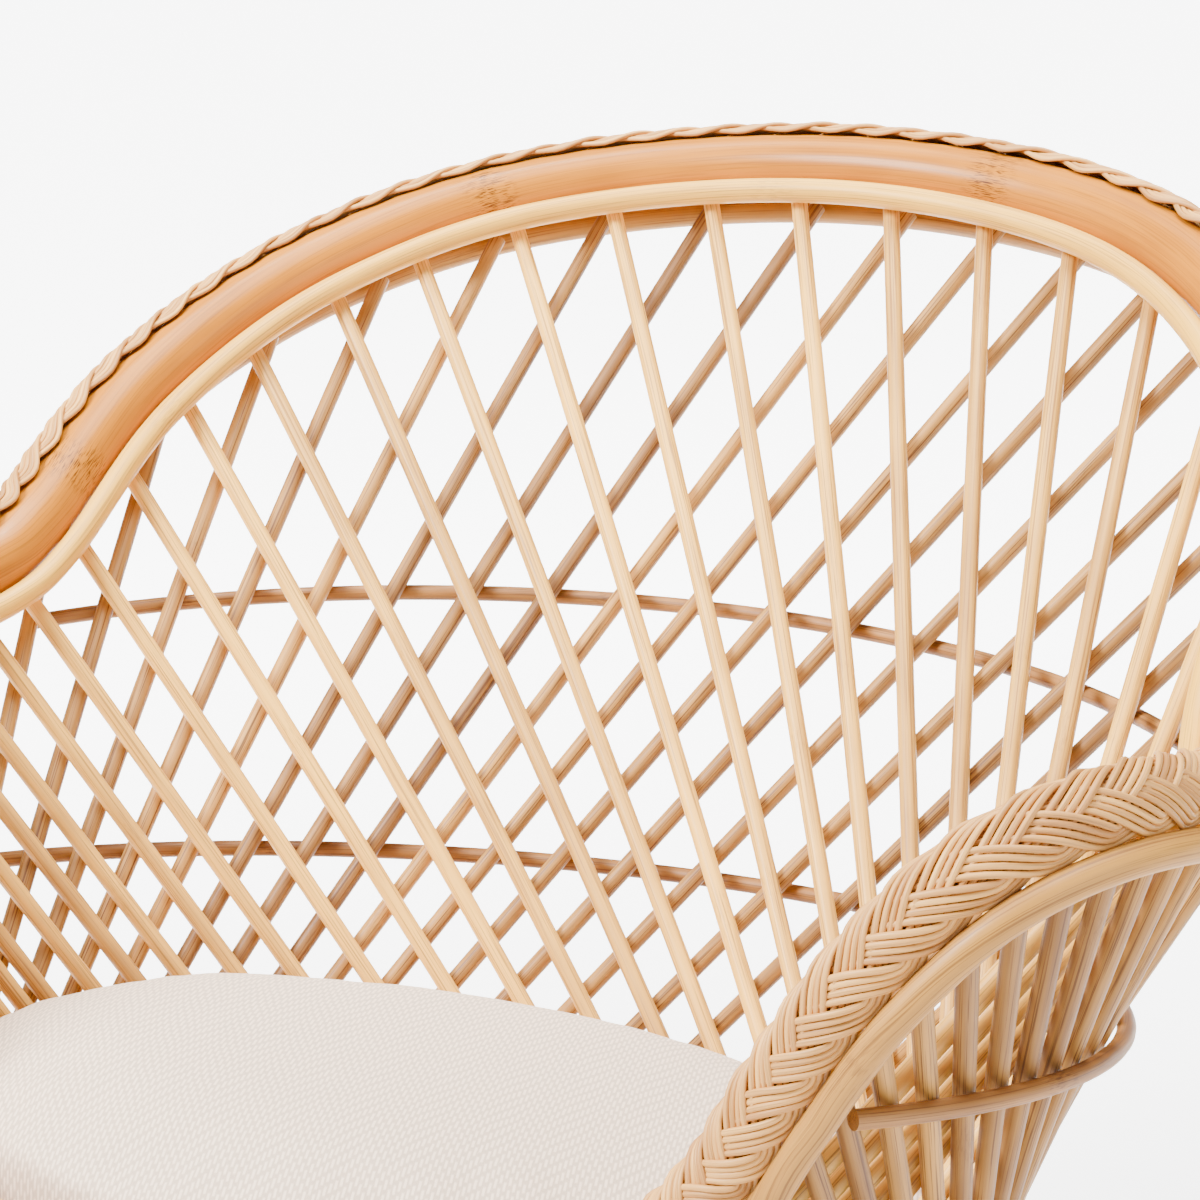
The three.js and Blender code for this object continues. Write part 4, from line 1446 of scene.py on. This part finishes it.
LAMPS = (
    Lamp("key", place=(-1.3, -1.5, 2.3), aim=(0.0, 0.1, 0.5), size=(1.0, 1.0), power=240.0),
    Lamp("top", place=(0.1, 0.0, 2.9), aim=(0.0, 0.0, 0.5), size=(1.4, 1.4), power=110.0),
    Lamp("fill", place=(1.8, -0.6, 0.9), aim=(0.3, 0.0, 0.5), size=(1.5, 1.5), power=28.0),
)


@dataclass
class Studio:
    """Pale floor, soft light and the camera."""

    wall: Wall
    eye: tuple[float, float, float] = (0.6519, -1.1124, 0.6372)
    yaw: float = 26.493
    pitch: float = 12.852
    lens: float = 95.93
    ambient: float = 0.2
    backdrop_start: float = 1.0
    backdrop_end: float = 40.0
    backdrop_width: float = 16.0
    backdrop_height: float = 5.0
    backdrop_spread: float = 50.0
    backdrop_power: float = 16700.0

    def build(self) -> None:
        """Sets the floor, the lights and the camera."""
        self._floor()
        for lamp in LAMPS:
            self._light(lamp)
        self._backdrop()
        world = bpy.data.worlds.new("studio")
        world.use_nodes = True
        world.node_tree.nodes["Background"].inputs["Color"].default_value = (1.0, 1.0, 1.0, 1.0)
        world.node_tree.nodes["Background"].inputs["Strength"].default_value = self.ambient
        bpy.context.scene.world = world
        self._camera()

    def _floor(self) -> None:
        """A wide flat floor."""
        work = bmesh.new()
        bmesh.ops.create_grid(work, x_segments=8, y_segments=8, size=60.0)
        mesh = bpy.data.meshes.new("studio_floor")
        work.to_mesh(mesh)
        work.free()
        floor = bpy.data.objects.new("studio_floor", mesh)
        bpy.context.collection.objects.link(floor)
        floor.data.materials.append(FloorFinish().build())

    def _light(self, lamp: Lamp) -> bpy.types.Object:
        """Adds one soft area light.

        Args:
            lamp: its place, aim, size and power.

        Returns:
            The light.
        """
        data = bpy.data.lights.new(lamp.name, "AREA")
        data.shape = "RECTANGLE"
        data.size, data.size_y = lamp.size
        data.energy = lamp.power
        light = bpy.data.objects.new(lamp.name, data)
        light.location = lamp.place
        light.rotation_euler = (Vector(lamp.aim) - Vector(lamp.place)).to_track_quat("-Z", "Y").to_euler()
        bpy.context.collection.objects.link(light)
        return light

    def _backdrop(self) -> None:
        """Hangs a long lamp over the floor behind the chair that lights only what lies below it."""
        turn = math.radians(self.yaw)
        middle = 0.5 * (self.backdrop_start + self.backdrop_end)
        place = (-math.sin(turn) * middle, math.cos(turn) * middle, self.backdrop_height)
        below = (place[0], place[1], 0.0)
        size = (self.backdrop_width, self.backdrop_end - self.backdrop_start)
        light = self._light(Lamp("backdrop", place, below, size, self.backdrop_power))
        light.rotation_euler = (0.0, 0.0, turn)
        light.data.spread = math.radians(self.backdrop_spread)

    def _camera(self) -> None:
        """Puts the camera at the photograph's place."""
        data = bpy.data.cameras.new("view")
        data.lens = self.lens
        data.sensor_width = 36.0
        data.clip_start = 0.05
        camera = bpy.data.objects.new("view", data)
        camera.location = Vector(self.eye) + Vector((0.0, self.wall.shift, self.wall.waist_height))
        camera.rotation_euler = (math.radians(90 - self.pitch), 0.0, math.radians(self.yaw))
        bpy.context.collection.objects.link(camera)
        bpy.context.scene.camera = camera


def main() -> None:
    """Builds the chair's looks in order."""
    logging.basicConfig(level=logging.INFO, format="%(message)s")
    low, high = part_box("waist_ring")
    wall = Wall(shift=(low[1] + high[1]) / 2)
    rim = Rim(wall, RimSizes())
    sweeper = Sweeper()
    Lattice(wall, rim).build(sweeper)
    RimWork(rim).build(sweeper)
    OuterRings(wall).build(sweeper)
    Base(wall).build(sweeper)
    Seat().build(sweeper)
    Pad().build()
    Studio(wall).build()


if __name__ == "__main__":
    main()
